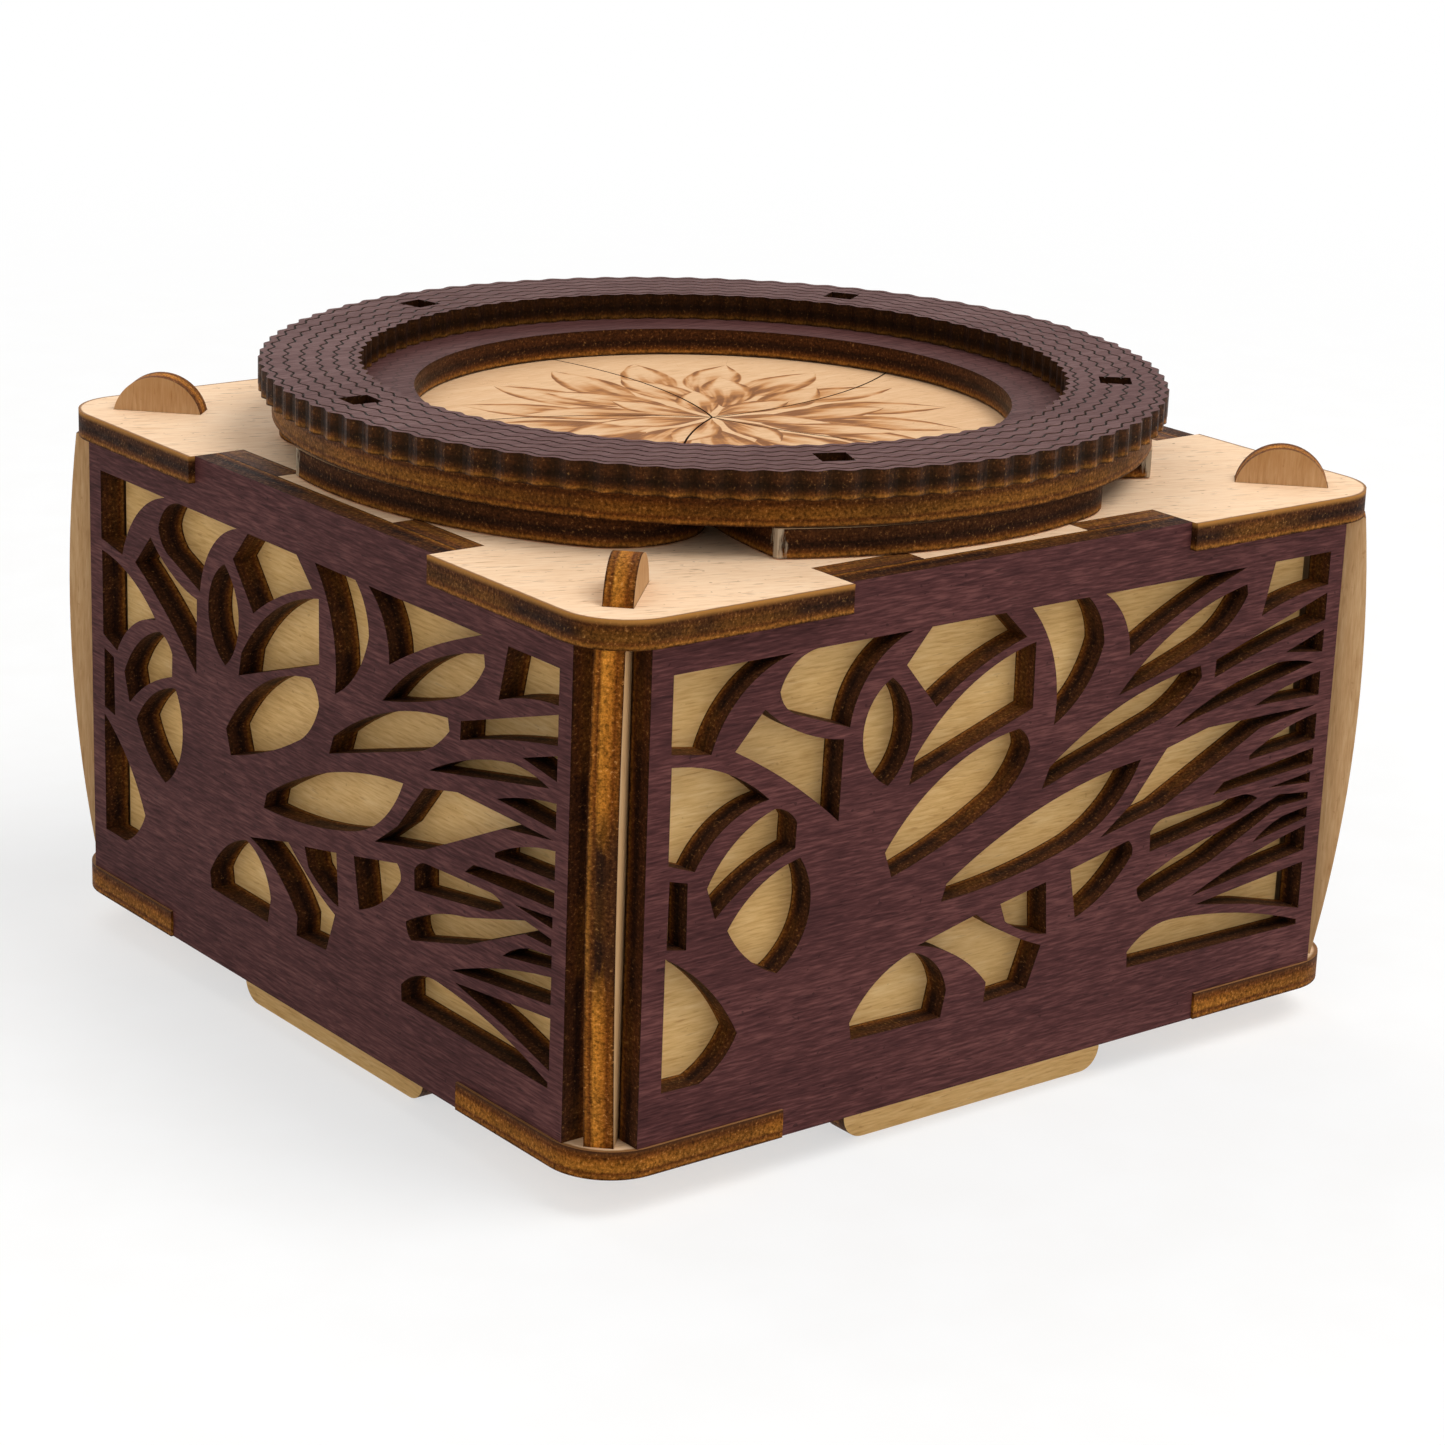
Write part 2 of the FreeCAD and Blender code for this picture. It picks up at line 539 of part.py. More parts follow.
def draw_blade(sketch):
    """Draws a blade whose post is on the X axis.

    The seams between blades are circles through the middle of the iris. A blade lies outside the
    seam ahead of it and inside the seam behind it, so blades that shift without turning stay apart.
    """
    seam = 2 * pivot_radius.value * math.sin(math.radians(blade_step / 2))
    half_gap = size.seam_gap.value / 2
    ahead = polar(seam, FULL_TURN / 4 + blade_step / 2)
    behind = polar(seam, FULL_TURN / 4 - blade_step / 2)
    ahead_radius = seam + half_gap
    behind_radius = seam - half_gap
    rim_centre = polar(size.rim_shift.value, size.rim_shift_angle.value)
    rim = blade_rim.value
    rounding = size.blade_round.value
    post = polar(pivot_radius.value, 0)
    leading_corner = polar(rim, blade_step)
    tip = meeting_point(ahead, ahead_radius, behind, behind_radius, Vector())
    sharp_corner = meeting_point(behind, behind_radius, rim_centre, rim, post)
    round_centre = meeting_point(ahead, ahead_radius + rounding, rim_centre, rim - rounding, leading_corner)
    rim_end = rim_centre + (round_centre - rim_centre).normalize() * rim
    seam_start = ahead + (round_centre - ahead).normalize() * ahead_radius
    add_arc(sketch, behind, tip, sharp_corner)
    add_arc(sketch, rim_centre, sharp_corner, rim_end)
    add_arc(sketch, round_centre, rim_end, seam_start)
    add_arc(sketch, ahead, tip, seam_start)


def iris_blade(number, turn):
    """A blade with its post hole, a recess for the post's flange and the curved slot of its guide pin."""
    body = new_body(f"iris_blade_{number}", turn, blade_bottom)
    outline = new_sketch(body, "Outline")
    draw_blade(outline)
    add_pad(body, outline, size.sheet_thickness)
    post_hole = new_sketch(body, "PostHole")
    bound_circle(post_hole, size.journal_radius + size.running_fit, pivot_radius)
    add_cut(body, post_hole)
    recess = new_sketch(body, "FlangeRecess")
    bound_circle(recess, size.flange_radius + size.flange_room, pivot_radius)
    add_cut(body, recess, size.flange_height + size.flange_room)
    slot = new_sketch(body, "GuideSlot")
    swing = pivot_radius.value
    centre = polar(guide_radius.value, size.guide_angle.value) + polar(swing, 0)
    half_turn = FULL_TURN / 2
    half_width = size.pin_radius.value + size.running_fit.value
    draw_arc_slot(slot, centre, swing, half_turn, half_turn + size.iris_travel.value, half_width)
    add_cut(body, slot)


def ring_post(number, turn):
    """A post: square head glued in both rings, journal in the blade, flange under it, end in the deck."""
    body = new_body(f"ring_post_{number}", turn)
    lower_end = deck_underside + size.post_end_gap
    journal = new_sketch(body, "Journal", offset=lower_end)
    bound_circle(journal, size.journal_radius, pivot_radius)
    add_pad(body, journal, middle_bottom - lower_end)
    flange = new_sketch(body, "Flange", offset=blade_bottom)
    bound_circle(flange, size.flange_radius, pivot_radius)
    add_pad(body, flange, size.flange_height)
    head = new_sketch(body, "Head", offset=middle_bottom)
    half = size.post_side / 2
    bound_rectangle(head, pivot_radius - half, -half, pivot_radius + half, half)
    add_pad(body, head, grip_top - size.post_sunk - middle_bottom)


def guide_pin(number, turn):
    """A headed pin fixed in the deck; its head keeps the blade down."""
    body = new_body(f"guide_pin_{number}", turn)
    shank = new_sketch(body, "Shank", offset=deck_underside)
    bound_circle(shank, size.pin_radius, guide_radius)
    add_pad(body, shank, middle_bottom - deck_underside)
    head = new_sketch(body, "Head", offset=middle_bottom)
    bound_circle(head, size.pin_head_radius, guide_radius)
    knob = add_pad(body, head, size.pin_head_height)
    top = middle_bottom.value + size.pin_head_height.value

    def is_top(edge):
        return math.isclose(edge.BoundBox.ZMin, top)

    ease_edges(body, knob, size.pin_head_bevel, is_top, "Chamfer", "Size")


def build():
    top_plate()
    bottom_plate()
    for index, side in enumerate(SIDES):
        fretted_panel(side, index * QUARTER_TURN)
        backing_panel(side, index * QUARTER_TURN)
    for index, corner in enumerate(CORNERS):
        corner_fin(corner, FIRST_CORNER_ANGLE + index * QUARTER_TURN)
    grip_ring()
    middle_ring()
    for index in range(blade_count):
        turn = size.pivot_phase.value + index * blade_step
        iris_blade(index + 1, turn)
        ring_post(index + 1, turn)
        guide_pin(index + 1, turn + size.guide_angle.value)


def check():
    """Stops at a failed feature, a cut that removes nothing, or a sub-part that isn't one good solid."""
    for feature in doc.Objects:
        if "Invalid" in feature.State or "Error" in feature.State:
            raise RuntimeError(f"{feature.Label} failed: {feature.State}")
        if feature.isDerivedFrom("PartDesign::Pocket"):
            if feature.Shape.Volume >= feature.BaseFeature.Shape.Volume:
                raise RuntimeError(f"{feature.Label} removes nothing")
    for body in doc.findObjects("PartDesign::Body"):
        shape = body.Shape
        if shape.isNull() or not shape.isValid() or len(shape.Solids) != 1:
            raise RuntimeError(f"{body.Label} isn't one valid solid")


def write():
    os.makedirs("parts", exist_ok=True)
    for body in doc.findObjects("PartDesign::Body"):
        body.Shape.exportStep(os.path.join("parts", f"{body.Label}.step"))


build()
doc.recompute()
check()
write()
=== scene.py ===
"""Looks of the plywood iris box: stained fretwork, scorched blades, charred edges, waved ring."""

import logging
import math
from dataclasses import dataclass, field, replace
from enum import Enum
from typing import Any, Sequence

import bpy
from mathutils import Matrix, Vector

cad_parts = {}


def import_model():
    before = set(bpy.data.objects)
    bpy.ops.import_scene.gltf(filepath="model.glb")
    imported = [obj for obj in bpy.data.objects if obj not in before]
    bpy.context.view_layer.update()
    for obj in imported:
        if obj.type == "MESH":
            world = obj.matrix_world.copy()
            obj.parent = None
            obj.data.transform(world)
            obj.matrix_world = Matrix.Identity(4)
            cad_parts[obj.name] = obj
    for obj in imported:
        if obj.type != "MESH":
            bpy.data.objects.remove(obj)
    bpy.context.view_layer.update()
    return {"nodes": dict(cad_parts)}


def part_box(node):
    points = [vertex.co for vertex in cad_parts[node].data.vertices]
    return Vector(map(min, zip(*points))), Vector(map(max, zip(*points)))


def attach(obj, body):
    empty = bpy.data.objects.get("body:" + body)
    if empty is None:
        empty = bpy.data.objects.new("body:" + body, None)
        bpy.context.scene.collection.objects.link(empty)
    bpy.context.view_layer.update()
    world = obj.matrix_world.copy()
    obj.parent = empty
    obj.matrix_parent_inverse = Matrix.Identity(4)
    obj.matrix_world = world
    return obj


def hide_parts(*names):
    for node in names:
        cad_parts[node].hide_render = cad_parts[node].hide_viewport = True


LOG = logging.getLogger("iris_box")

Colour = tuple[float, float, float, float]
Span = tuple[float, float]
Socket = bpy.types.NodeSocket
Value = Any

MM = 0.001
SHEET = 3.0 * MM
TOUCH = 1e-6
UP = Vector((0.0, 0.0, 1.0))
ALONG_X = Vector((1.0, 0.0, 0.0))
PLATE_GRAIN = Vector((1.0, -0.35, 0.0)).normalized()
FLAT = (1.0, 1.0, 0.0)
WHITE: Colour = (1.0, 1.0, 1.0, 1.0)
PHOTO_PIXELS = 1445

SRGB_TOE = 0.04045
SRGB_SLOPE = 12.92
SRGB_OFFSET = 0.055
SRGB_POWER = 2.4

# Where most values of a noise lie.
COMMON: Span = (0.3, 0.7)


def linear(red: float, green: float, blue: float) -> Colour:
    """Turns a colour as the eye reads it into the renderer's linear light.

    Args:
        red: Red from 0 to 255.
        green: Green from 0 to 255.
        blue: Blue from 0 to 255.

    Returns:
        The linear colour with full alpha.
    """
    def channel(value: float) -> float:
        """Turns one channel."""
        share = value / 255.0
        return (share / SRGB_SLOPE if share <= SRGB_TOE
                else ((share + SRGB_OFFSET) / (1.0 + SRGB_OFFSET)) ** SRGB_POWER)

    return channel(red), channel(green), channel(blue), 1.0


@dataclass(frozen=True)
class Pattern:
    """Noise: cycles per metre along each axis, its finer layers and how strong they are."""

    scale: tuple[float, float, float]
    detail: float = 3.0
    roughness: float = 0.55


class Graph:
    """Adds nodes to a node tree and links them."""

    def __init__(self, tree: bpy.types.NodeTree) -> None:
        """Keeps the tree."""
        self.tree = tree

    def put(self, socket: Socket, value: Value) -> None:
        """Links a socket's source, or sets its constant.

        Args:
            socket: The input.
            value: An output socket, a constant, or None to leave the input as it is.
        """
        if isinstance(value, Socket):
            self.tree.links.new(value, socket)
        elif value is not None:
            socket.default_value = value

    def node(self, kind: str, inputs: dict[Any, Value] | None = None,
             **settings: Any) -> bpy.types.Node:
        """Adds a node.

        Args:
            kind: The node's type.
            inputs: What each input takes, by name or index.
            **settings: Properties of the node, set before its inputs.

        Returns:
            The node.
        """
        made = self.tree.nodes.new(kind)
        for name, setting in settings.items():
            setattr(made, name, setting)
        for name, value in (inputs or {}).items():
            self.put(made.inputs[name], value)
        return made

    def first(self, kind: str, inputs: dict[Any, Value] | None = None, **settings: Any) -> Socket:
        """Adds a node and gives its first output."""
        return self.node(kind, inputs, **settings).outputs[0]

    def maths(self, operation: str, first: Value, second: Value = None,
              third: Value = None) -> Socket:
        """Adds a calculation on up to three numbers.

        Args:
            operation: The operation.
            first: First number.
            second: Second number.
            third: Third number.

        Returns:
            The result.
        """
        inputs = {0: first, 1: second, 2: third}
        return self.first("ShaderNodeMath", inputs, operation=operation)

    def times(self, first: Value, second: Value) -> Socket:
        """Multiplies two numbers."""
        return self.maths("MULTIPLY", first, second)

    def minus(self, first: Value, second: Value) -> Socket:
        """Takes the second number from the first."""
        return self.maths("SUBTRACT", first, second)

    def fused(self, first: Value, second: Value, third: Value) -> Socket:
        """Multiplies two numbers and adds a third."""
        return self.maths("MULTIPLY_ADD", first, second, third)

    def remap(self, value: Value, low: Value, high: Value, to_low: Value = 0.0,
              to_high: Value = 1.0, smooth: bool = True) -> Socket:
        """Maps a range onto another, clamped.

        Args:
            value: The number.
            low: Start of its range.
            high: End of its range.
            to_low: What the start becomes.
            to_high: What the end becomes.
            smooth: Whether both ends ease.

        Returns:
            The mapped number.
        """
        kind = "SMOOTHSTEP" if smooth else "LINEAR"
        inputs = {0: value, 1: low, 2: high, 3: to_low, 4: to_high}
        return self.first("ShaderNodeMapRange", inputs, interpolation_type=kind)

    def scaled(self, vector: Value, scale: Sequence[float]) -> Socket:
        """Stretches a vector along its axes."""
        inputs = {0: vector, 1: tuple(scale)}
        return self.first("ShaderNodeVectorMath", inputs, operation="MULTIPLY")

    def measure(self, operation: str, first: Value, second: Value = None) -> Socket:
        """Takes the length of a vector, or the distance or dot product of two."""
        inputs = {0: first, 1: second}
        return self.node("ShaderNodeVectorMath", inputs, operation=operation).outputs["Value"]

    def radius(self, place: Value) -> Socket:
        """Measures how far a place is from the upright axis."""
        return self.measure("LENGTH", self.scaled(place, FLAT))

    def combine(self, x: Value = None, y: Value = None, z: Value = None) -> Socket:
        """Joins three numbers into a vector, with zero for what is left out."""
        return self.first("ShaderNodeCombineXYZ", {0: x, 1: y, 2: z})

    def separate(self, vector: Value) -> tuple[Socket, ...]:
        """Splits a vector into its three numbers."""
        return tuple(self.node("ShaderNodeSeparateXYZ", {0: vector}).outputs)

    def noise(self, vector: Value, pattern: Pattern) -> Socket:
        """Adds noise with a scale of its own along each axis.

        Args:
            vector: Where it is read, in metres.
            pattern: Its scale and layers.

        Returns:
            The noise, about 0 to 1.
        """
        inputs = {"Vector": self.scaled(vector, pattern.scale), "Scale": 1.0,
                  "Detail": pattern.detail, "Roughness": pattern.roughness}
        return self.node("ShaderNodeTexNoise", inputs).outputs["Fac"]

    def jitter(self, vector: Value, pattern: Pattern) -> Socket:
        """Adds noise about zero."""
        return self.minus(self.noise(vector, pattern), 0.5)

    def ramp(self, factor: Value, stops: Sequence[tuple[float, Colour]]) -> Socket:
        """Adds a colour ramp.

        Args:
            factor: Where along the ramp.
            stops: Places and their colours.

        Returns:
            The colour.
        """
        made = self.node("ShaderNodeValToRGB", {0: factor})
        elements = made.color_ramp.elements
        while len(elements) < len(stops):
            elements.new(0.5)
        for element, (place, colour) in zip(elements, stops):
            element.position = place
            element.color = colour
        return made.outputs[0]

    def mix(self, factor: Value, first: Value, second: Value, blend: str = "MIX") -> Socket:
        """Mixes two colours.

        Args:
            factor: How much of the second.
            first: The first colour.
            second: The second colour.
            blend: How they mix.

        Returns:
            The colour.
        """
        inputs = {0: factor, 6: first, 7: second}
        return self.node("ShaderNodeMix", inputs, data_type="RGBA", blend_type=blend).outputs[2]

    def shade(self, colour: Value, factor: Value) -> Socket:
        """Darkens or lightens a colour by a factor."""
        grey = self.first("ShaderNodeCombineColor", {0: factor, 1: factor, 2: factor})
        return self.mix(1.0, colour, grey, "MULTIPLY")

    def blend(self, factor: Value, first: Value, second: Value) -> Socket:
        """Mixes two numbers by a factor, the share of the second."""
        inputs = {0: factor, 2: first, 3: second}
        return self.first("ShaderNodeMix", inputs, data_type="FLOAT")


class Effect:
    """Shader effects that several finishes share, each a node group built once."""

    FINE = Pattern((330.0, 3600.0, 3600.0), 3.0, 0.6)
    BAND = Pattern((35.0, 620.0, 620.0), 3.0, 0.5)
    CLOUD = Pattern((45.0, 70.0, 70.0), 3.0, 0.5)
    PORES = Pattern((420.0, 3600.0, 3600.0), 2.0, 0.4)
    DOTS = Pattern((1300.0, 1500.0, 1500.0), 1.0, 0.4)
    FINE_SHARE = 0.6
    BAND_SHARE = 0.22
    CLOUD_SHARE = 0.18
    STREAK_SPAN: Span = (0.33, 0.67)
    PORE_SPAN: Span = (0.63, 0.72)
    DOT_SPAN: Span = (0.735, 0.78)
    PORE_DEPTH = 0.4

    BROAD = Pattern((70.0, 70.0, 30.0))
    FIBRE = Pattern((700.0, 700.0, 4200.0), 3.0, 0.6)
    PITS = Pattern((3400.0, 3400.0, 3000.0), 3.0, 0.65)
    BROAD_WANDER = 0.07
    FIBRE_WANDER = 0.1
    CHARRED_PLIES = (
        (0.0, linear(44, 22, 11)), (0.09, linear(126, 80, 30)), (0.2, linear(84, 46, 17)),
        (0.36, linear(42, 21, 11)), (0.5, linear(30, 14, 8)), (0.66, linear(54, 28, 13)),
        (0.86, linear(60, 32, 14)), (1.0, linear(44, 22, 11)))
    GOLDEN_PLIES = (
        (0.0, linear(52, 26, 10)), (0.1, linear(126, 72, 20)), (0.22, linear(92, 46, 11)),
        (0.34, linear(178, 114, 38)), (0.62, linear(162, 98, 30)), (0.76, linear(102, 52, 12)),
        (0.9, linear(118, 66, 18)), (1.0, linear(46, 22, 10)))
    PATCH_SPAN: Span = (0.36, 0.64)
    PATCH_GOLD: Span = (-0.16, 0.16)
    PIT_SPAN: Span = (0.32, 0.68)
    PIT_SHADES: Span = (0.36, 1.72)
    FIBRE_SHADES: Span = (0.75, 1.2)
    # Pale specks on the cut edge, most on the golden plies: partly pale fibres, partly painted
    # glints.
    SPECK_AND_GLINT = linear(198, 148, 84)
    SPECK_AND_GLINT_SPAN: Span = (0.6, 0.72)
    SPECK_AND_GLINT_SHARES: Span = (0.25, 0.6)

    built: dict[str, bpy.types.NodeTree] = {}

    @classmethod
    def tree(cls, name: str, inputs: dict[str, str],
             outputs: dict[str, str]) -> tuple[Graph, Any, Any]:
        """Starts a group.

        Args:
            name: The group's name.
            inputs: Socket types by name.
            outputs: Socket types by name.

        Returns:
            The graph, the group's inputs to read and its outputs to feed.
        """
        tree = bpy.data.node_groups.new(name, "ShaderNodeTree")
        for label, kind in inputs.items():
            tree.interface.new_socket(label, in_out="INPUT", socket_type=f"NodeSocket{kind}")
        for label, kind in outputs.items():
            tree.interface.new_socket(label, in_out="OUTPUT", socket_type=f"NodeSocket{kind}")
        graph = Graph(tree)
        source = graph.node("NodeGroupInput").outputs
        sink = graph.node("NodeGroupOutput").inputs
        cls.built[name] = tree
        return graph, source, sink

    @classmethod
    def grain(cls) -> bpy.types.NodeTree:
        """Draws fine streaks, broad bands and short flecks along the sheet's grain.

        Returns:
            The group.
        """
        name = "WoodGrain"
        if name in cls.built:
            return cls.built[name]
        graph, source, sink = cls.tree(
            name, {"Vector": "Vector"}, {"Streak": "Float", "Fleck": "Float", "Height": "Float"})
        place = source["Vector"]
        fine = graph.noise(place, cls.FINE)
        band = graph.times(graph.noise(place, cls.BAND), cls.BAND_SHARE)
        streak = graph.fused(fine, cls.FINE_SHARE, band)
        cloud = graph.noise(place, cls.CLOUD)
        streak = graph.fused(cloud, cls.CLOUD_SHARE, streak)
        graph.put(sink["Streak"], graph.remap(streak, *cls.STREAK_SPAN, smooth=False))
        pores = graph.noise(place, cls.PORES)
        dots = graph.remap(graph.noise(place, cls.DOTS), *cls.DOT_SPAN)
        fleck = graph.maths("MAXIMUM", graph.remap(pores, *cls.PORE_SPAN), dots)
        graph.put(sink["Fleck"], fleck)
        sunk = graph.times(pores, cls.PORE_DEPTH)
        graph.put(sink["Height"], graph.minus(fine, sunk))
        return cls.built[name]

    @classmethod
    def edge(cls) -> bpy.types.NodeTree:
        """Draws the edge that a laser leaves on plywood: charred and golden plies with pits, and
        pale specks that are partly painted glints.

        Returns:
            The group.
        """
        name = "LaserEdge"
        if name in cls.built:
            return cls.built[name]
        graph, source, sink = cls.tree(
            name, {"Vector": "Vector", "Depth": "Float", "Gold": "Float"},
            {"Color": "Color", "Height": "Float"})
        place = source["Vector"]
        broad = graph.noise(place, cls.BROAD)
        fibre = graph.noise(place, cls.FIBRE)
        pits = graph.noise(place, cls.PITS)
        wander = source["Depth"]
        for noise, share in ((broad, cls.BROAD_WANDER), (fibre, cls.FIBRE_WANDER)):
            offset = graph.minus(noise, 0.5)
            wander = graph.fused(offset, share, wander)
        patch = graph.remap(broad, *cls.PATCH_SPAN, *cls.PATCH_GOLD)
        gold = graph.maths("ADD", source["Gold"], patch)
        gold = graph.first("ShaderNodeClamp", {0: gold})
        colour = graph.mix(gold, graph.ramp(wander, cls.CHARRED_PLIES),
                           graph.ramp(wander, cls.GOLDEN_PLIES))
        shade = graph.times(graph.remap(pits, *cls.PIT_SPAN, *cls.PIT_SHADES, smooth=False),
                            graph.remap(fibre, *COMMON, *cls.FIBRE_SHADES, smooth=False))
        # Pale specks, partly painted glints, laid over the mottled ply colour.
        speck_and_glint = graph.times(graph.remap(pits, *cls.SPECK_AND_GLINT_SPAN),
                            graph.blend(gold, *cls.SPECK_AND_GLINT_SHARES))
        graph.put(sink["Color"], graph.mix(speck_and_glint, graph.shade(colour, shade), cls.SPECK_AND_GLINT))
        graph.put(sink["Height"], graph.blend(0.5, fibre, pits))
        return cls.built[name]


@dataclass(frozen=True)
class SheetPlane:
    """How a sheet lies: where its grain runs, which way it faces and where its back is."""

    grain: Vector
    normal: Vector
    back: float

    def mapping(self) -> tuple[float, float, float]:
        """Gives the turn that lays the grain on X and the thickness on Z."""
        across = self.normal.cross(self.grain)
        return tuple(Matrix((self.grain, across, self.normal)).to_euler("XYZ"))


@dataclass(frozen=True)
class Sheet:
    """What a finish reads: the graph, sheet coordinates, share of the thickness and the grain."""

    graph: Graph
    place: Value
    depth: Value
    grain: bpy.types.Node


class Cut(Enum):
    """How golden a cut edge is; the rest is char."""

    BLACK = -0.25
    SOOTY = 0.0
    CHARRED = 0.05
    BROWN = 0.35
    AMBER = 0.5
    GOLDEN = 0.85


@dataclass(frozen=True)
class SheetFinish:
    """Looks of a plywood sheet: its faces and its cut edges."""

    name: str
    dark: Colour
    middle: Colour
    light: Colour
    fleck: Colour
    fleck_share: float
    cut: Cut
    roughness: float = 0.6
    roughness_spread: Span = (0.08, -0.06)
    gloss: float = 0.2
    edge_roughness: float = 0.66
    edge_spread: Span = (0.1, -0.1)
    bump: float = 0.25
    bump_height: float = 0.12 * MM
    sheen: Colour = WHITE
    facing: Span = (0.6, 0.9)

    def face(self, sheet: Sheet) -> Socket:
        """Colours the face of the sheet.

        Args:
            sheet: What the finish reads.

        Returns:
            The colour.
        """
        stops = ((0.0, self.dark), (0.5, self.middle), (1.0, self.light))
        tone = sheet.graph.ramp(sheet.grain.outputs["Streak"], stops)
        share = sheet.graph.times(sheet.grain.outputs["Fleck"], self.fleck_share)
        return sheet.graph.mix(share, tone, self.fleck)

    def gold(self, sheet: Sheet) -> Value:
        """Tells how golden the cut edge is; a plain sheet's is the same all round."""
        return self.cut.value

    def mark_edge(self, sheet: Sheet, edge: Value) -> Value:
        """Marks the cut edge by fraying it, giving it a lip of its own colour or painting shade in
        its dips; a plain sheet's stays as cut.
        """
        return edge

    def build(self, piece: str, plane: SheetPlane) -> bpy.types.Material:
        """Makes the material of one piece.

        Args:
            piece: The piece's name.
            plane: How its sheet lies.

        Returns:
            The material.
        """
        material = bpy.data.materials.new(f"{self.name}_{piece}")
        material.use_nodes = True
        graph = Graph(material.node_tree)
        shader = material.node_tree.nodes["Principled BSDF"]
        coordinates = graph.node("ShaderNodeTexCoord").outputs
        inputs = {"Vector": coordinates["Object"], "Rotation": plane.mapping()}
        place = graph.first("ShaderNodeMapping", inputs)
        depth = graph.minus(graph.separate(place)[2], plane.back)
        depth = graph.maths("DIVIDE", depth, SHEET)
        turned = graph.measure("DOT_PRODUCT", coordinates["Normal"], tuple(plane.normal))
        on_face = graph.remap(graph.maths("ABSOLUTE", turned), *self.facing)
        grain = graph.node("ShaderNodeGroup", {"Vector": place}, node_tree=Effect.grain())
        sheet = Sheet(graph, place, depth, grain)
        inputs = {"Vector": place, "Depth": depth, "Gold": self.gold(sheet)}
        edge = graph.node("ShaderNodeGroup", inputs, node_tree=Effect.edge())
        cut = self.mark_edge(sheet, edge.outputs["Color"])
        graph.put(shader.inputs["Base Color"], graph.mix(on_face, cut, self.face(sheet)))
        rough = graph.remap(grain.outputs["Streak"], 0.0, 1.0,
                            *(self.roughness + spread for spread in self.roughness_spread))
        cut_rough = graph.remap(edge.outputs["Height"], *COMMON,
                                *(self.edge_roughness + spread for spread in self.edge_spread))
        graph.put(shader.inputs["Roughness"], graph.blend(on_face, cut_rough, rough))
        shader.inputs["Specular IOR Level"].default_value = self.gloss
        shader.inputs["Specular Tint"].default_value = self.sheen
        height = graph.blend(on_face, edge.outputs["Height"], grain.outputs["Height"])
        inputs = {"Height": height, "Strength": self.bump, "Distance": self.bump_height}
        graph.put(shader.inputs["Normal"], graph.first("ShaderNodeBump", inputs))
        return material


@dataclass(frozen=True)
class LeafRow:
    """One row of scorched leaves round the middle of the iris, with its reach in millimetres."""

    count: int
    start: float
    end: float
    width: float
    turn: float
    sweep: float
    strength: float


@dataclass(frozen=True)
class Leaf:
    """What the leaves of every row share: outline, flanks, base and the strokes along them."""

    lean: float = 0.75
    least_half: float = 0.001
    rim: Span = (1.0, 0.88)
    flank: Span = (0.35, 0.95)
    base: Span = (0.1, 0.85)
    strokes: Span = (5.0, 1.6)
    stroke: Pattern = Pattern((1.0, 1.0, 1.0), 2.0, 0.5)
    stroke_span: Span = (0.34, 0.62)
    stroke_depth: Span = (0.35, 1.2)

    def row(self, graph: Graph, radius: Value, turns: Value, row: LeafRow) -> tuple[Value, Value]:
        """Draws one row of pointed leaves with shaded flanks.

        Args:
            graph: The material's graph.
            radius: Distance from the middle of the box.
            turns: Angle round it, in turns.
            row: The row.

        Returns:
            How deep the scorch is, and where the leaves are.
        """
        along = graph.remap(radius, row.start * MM, row.end * MM, smooth=False)
        swept = graph.fused(along, row.sweep, row.turn / row.count)
        lap = graph.times(graph.maths("ADD", turns, swept), float(row.count))
        offset = graph.minus(graph.maths("FRACT", lap), 0.5)
        swell = graph.times(graph.maths("POWER", along, self.lean), math.pi)
        half = graph.times(graph.maths("SINE", swell), row.width)
        half = graph.maths("MAXIMUM", half, self.least_half)
        across = graph.maths("DIVIDE", graph.maths("ABSOLUTE", offset), half)
        inside = graph.remap(across, *self.rim)
        depth = graph.maths("MAXIMUM", graph.remap(across, *self.flank),
                            graph.remap(along, *self.base, 1.0, 0.0))
        strand = graph.combine(graph.times(lap, self.strokes[0]),
                               graph.times(along, self.strokes[1]))
        stroke = graph.remap(graph.noise(strand, self.stroke), *self.stroke_span,
                             *self.stroke_depth)
        depth = graph.times(depth, stroke)
        return graph.times(depth, row.strength), inside


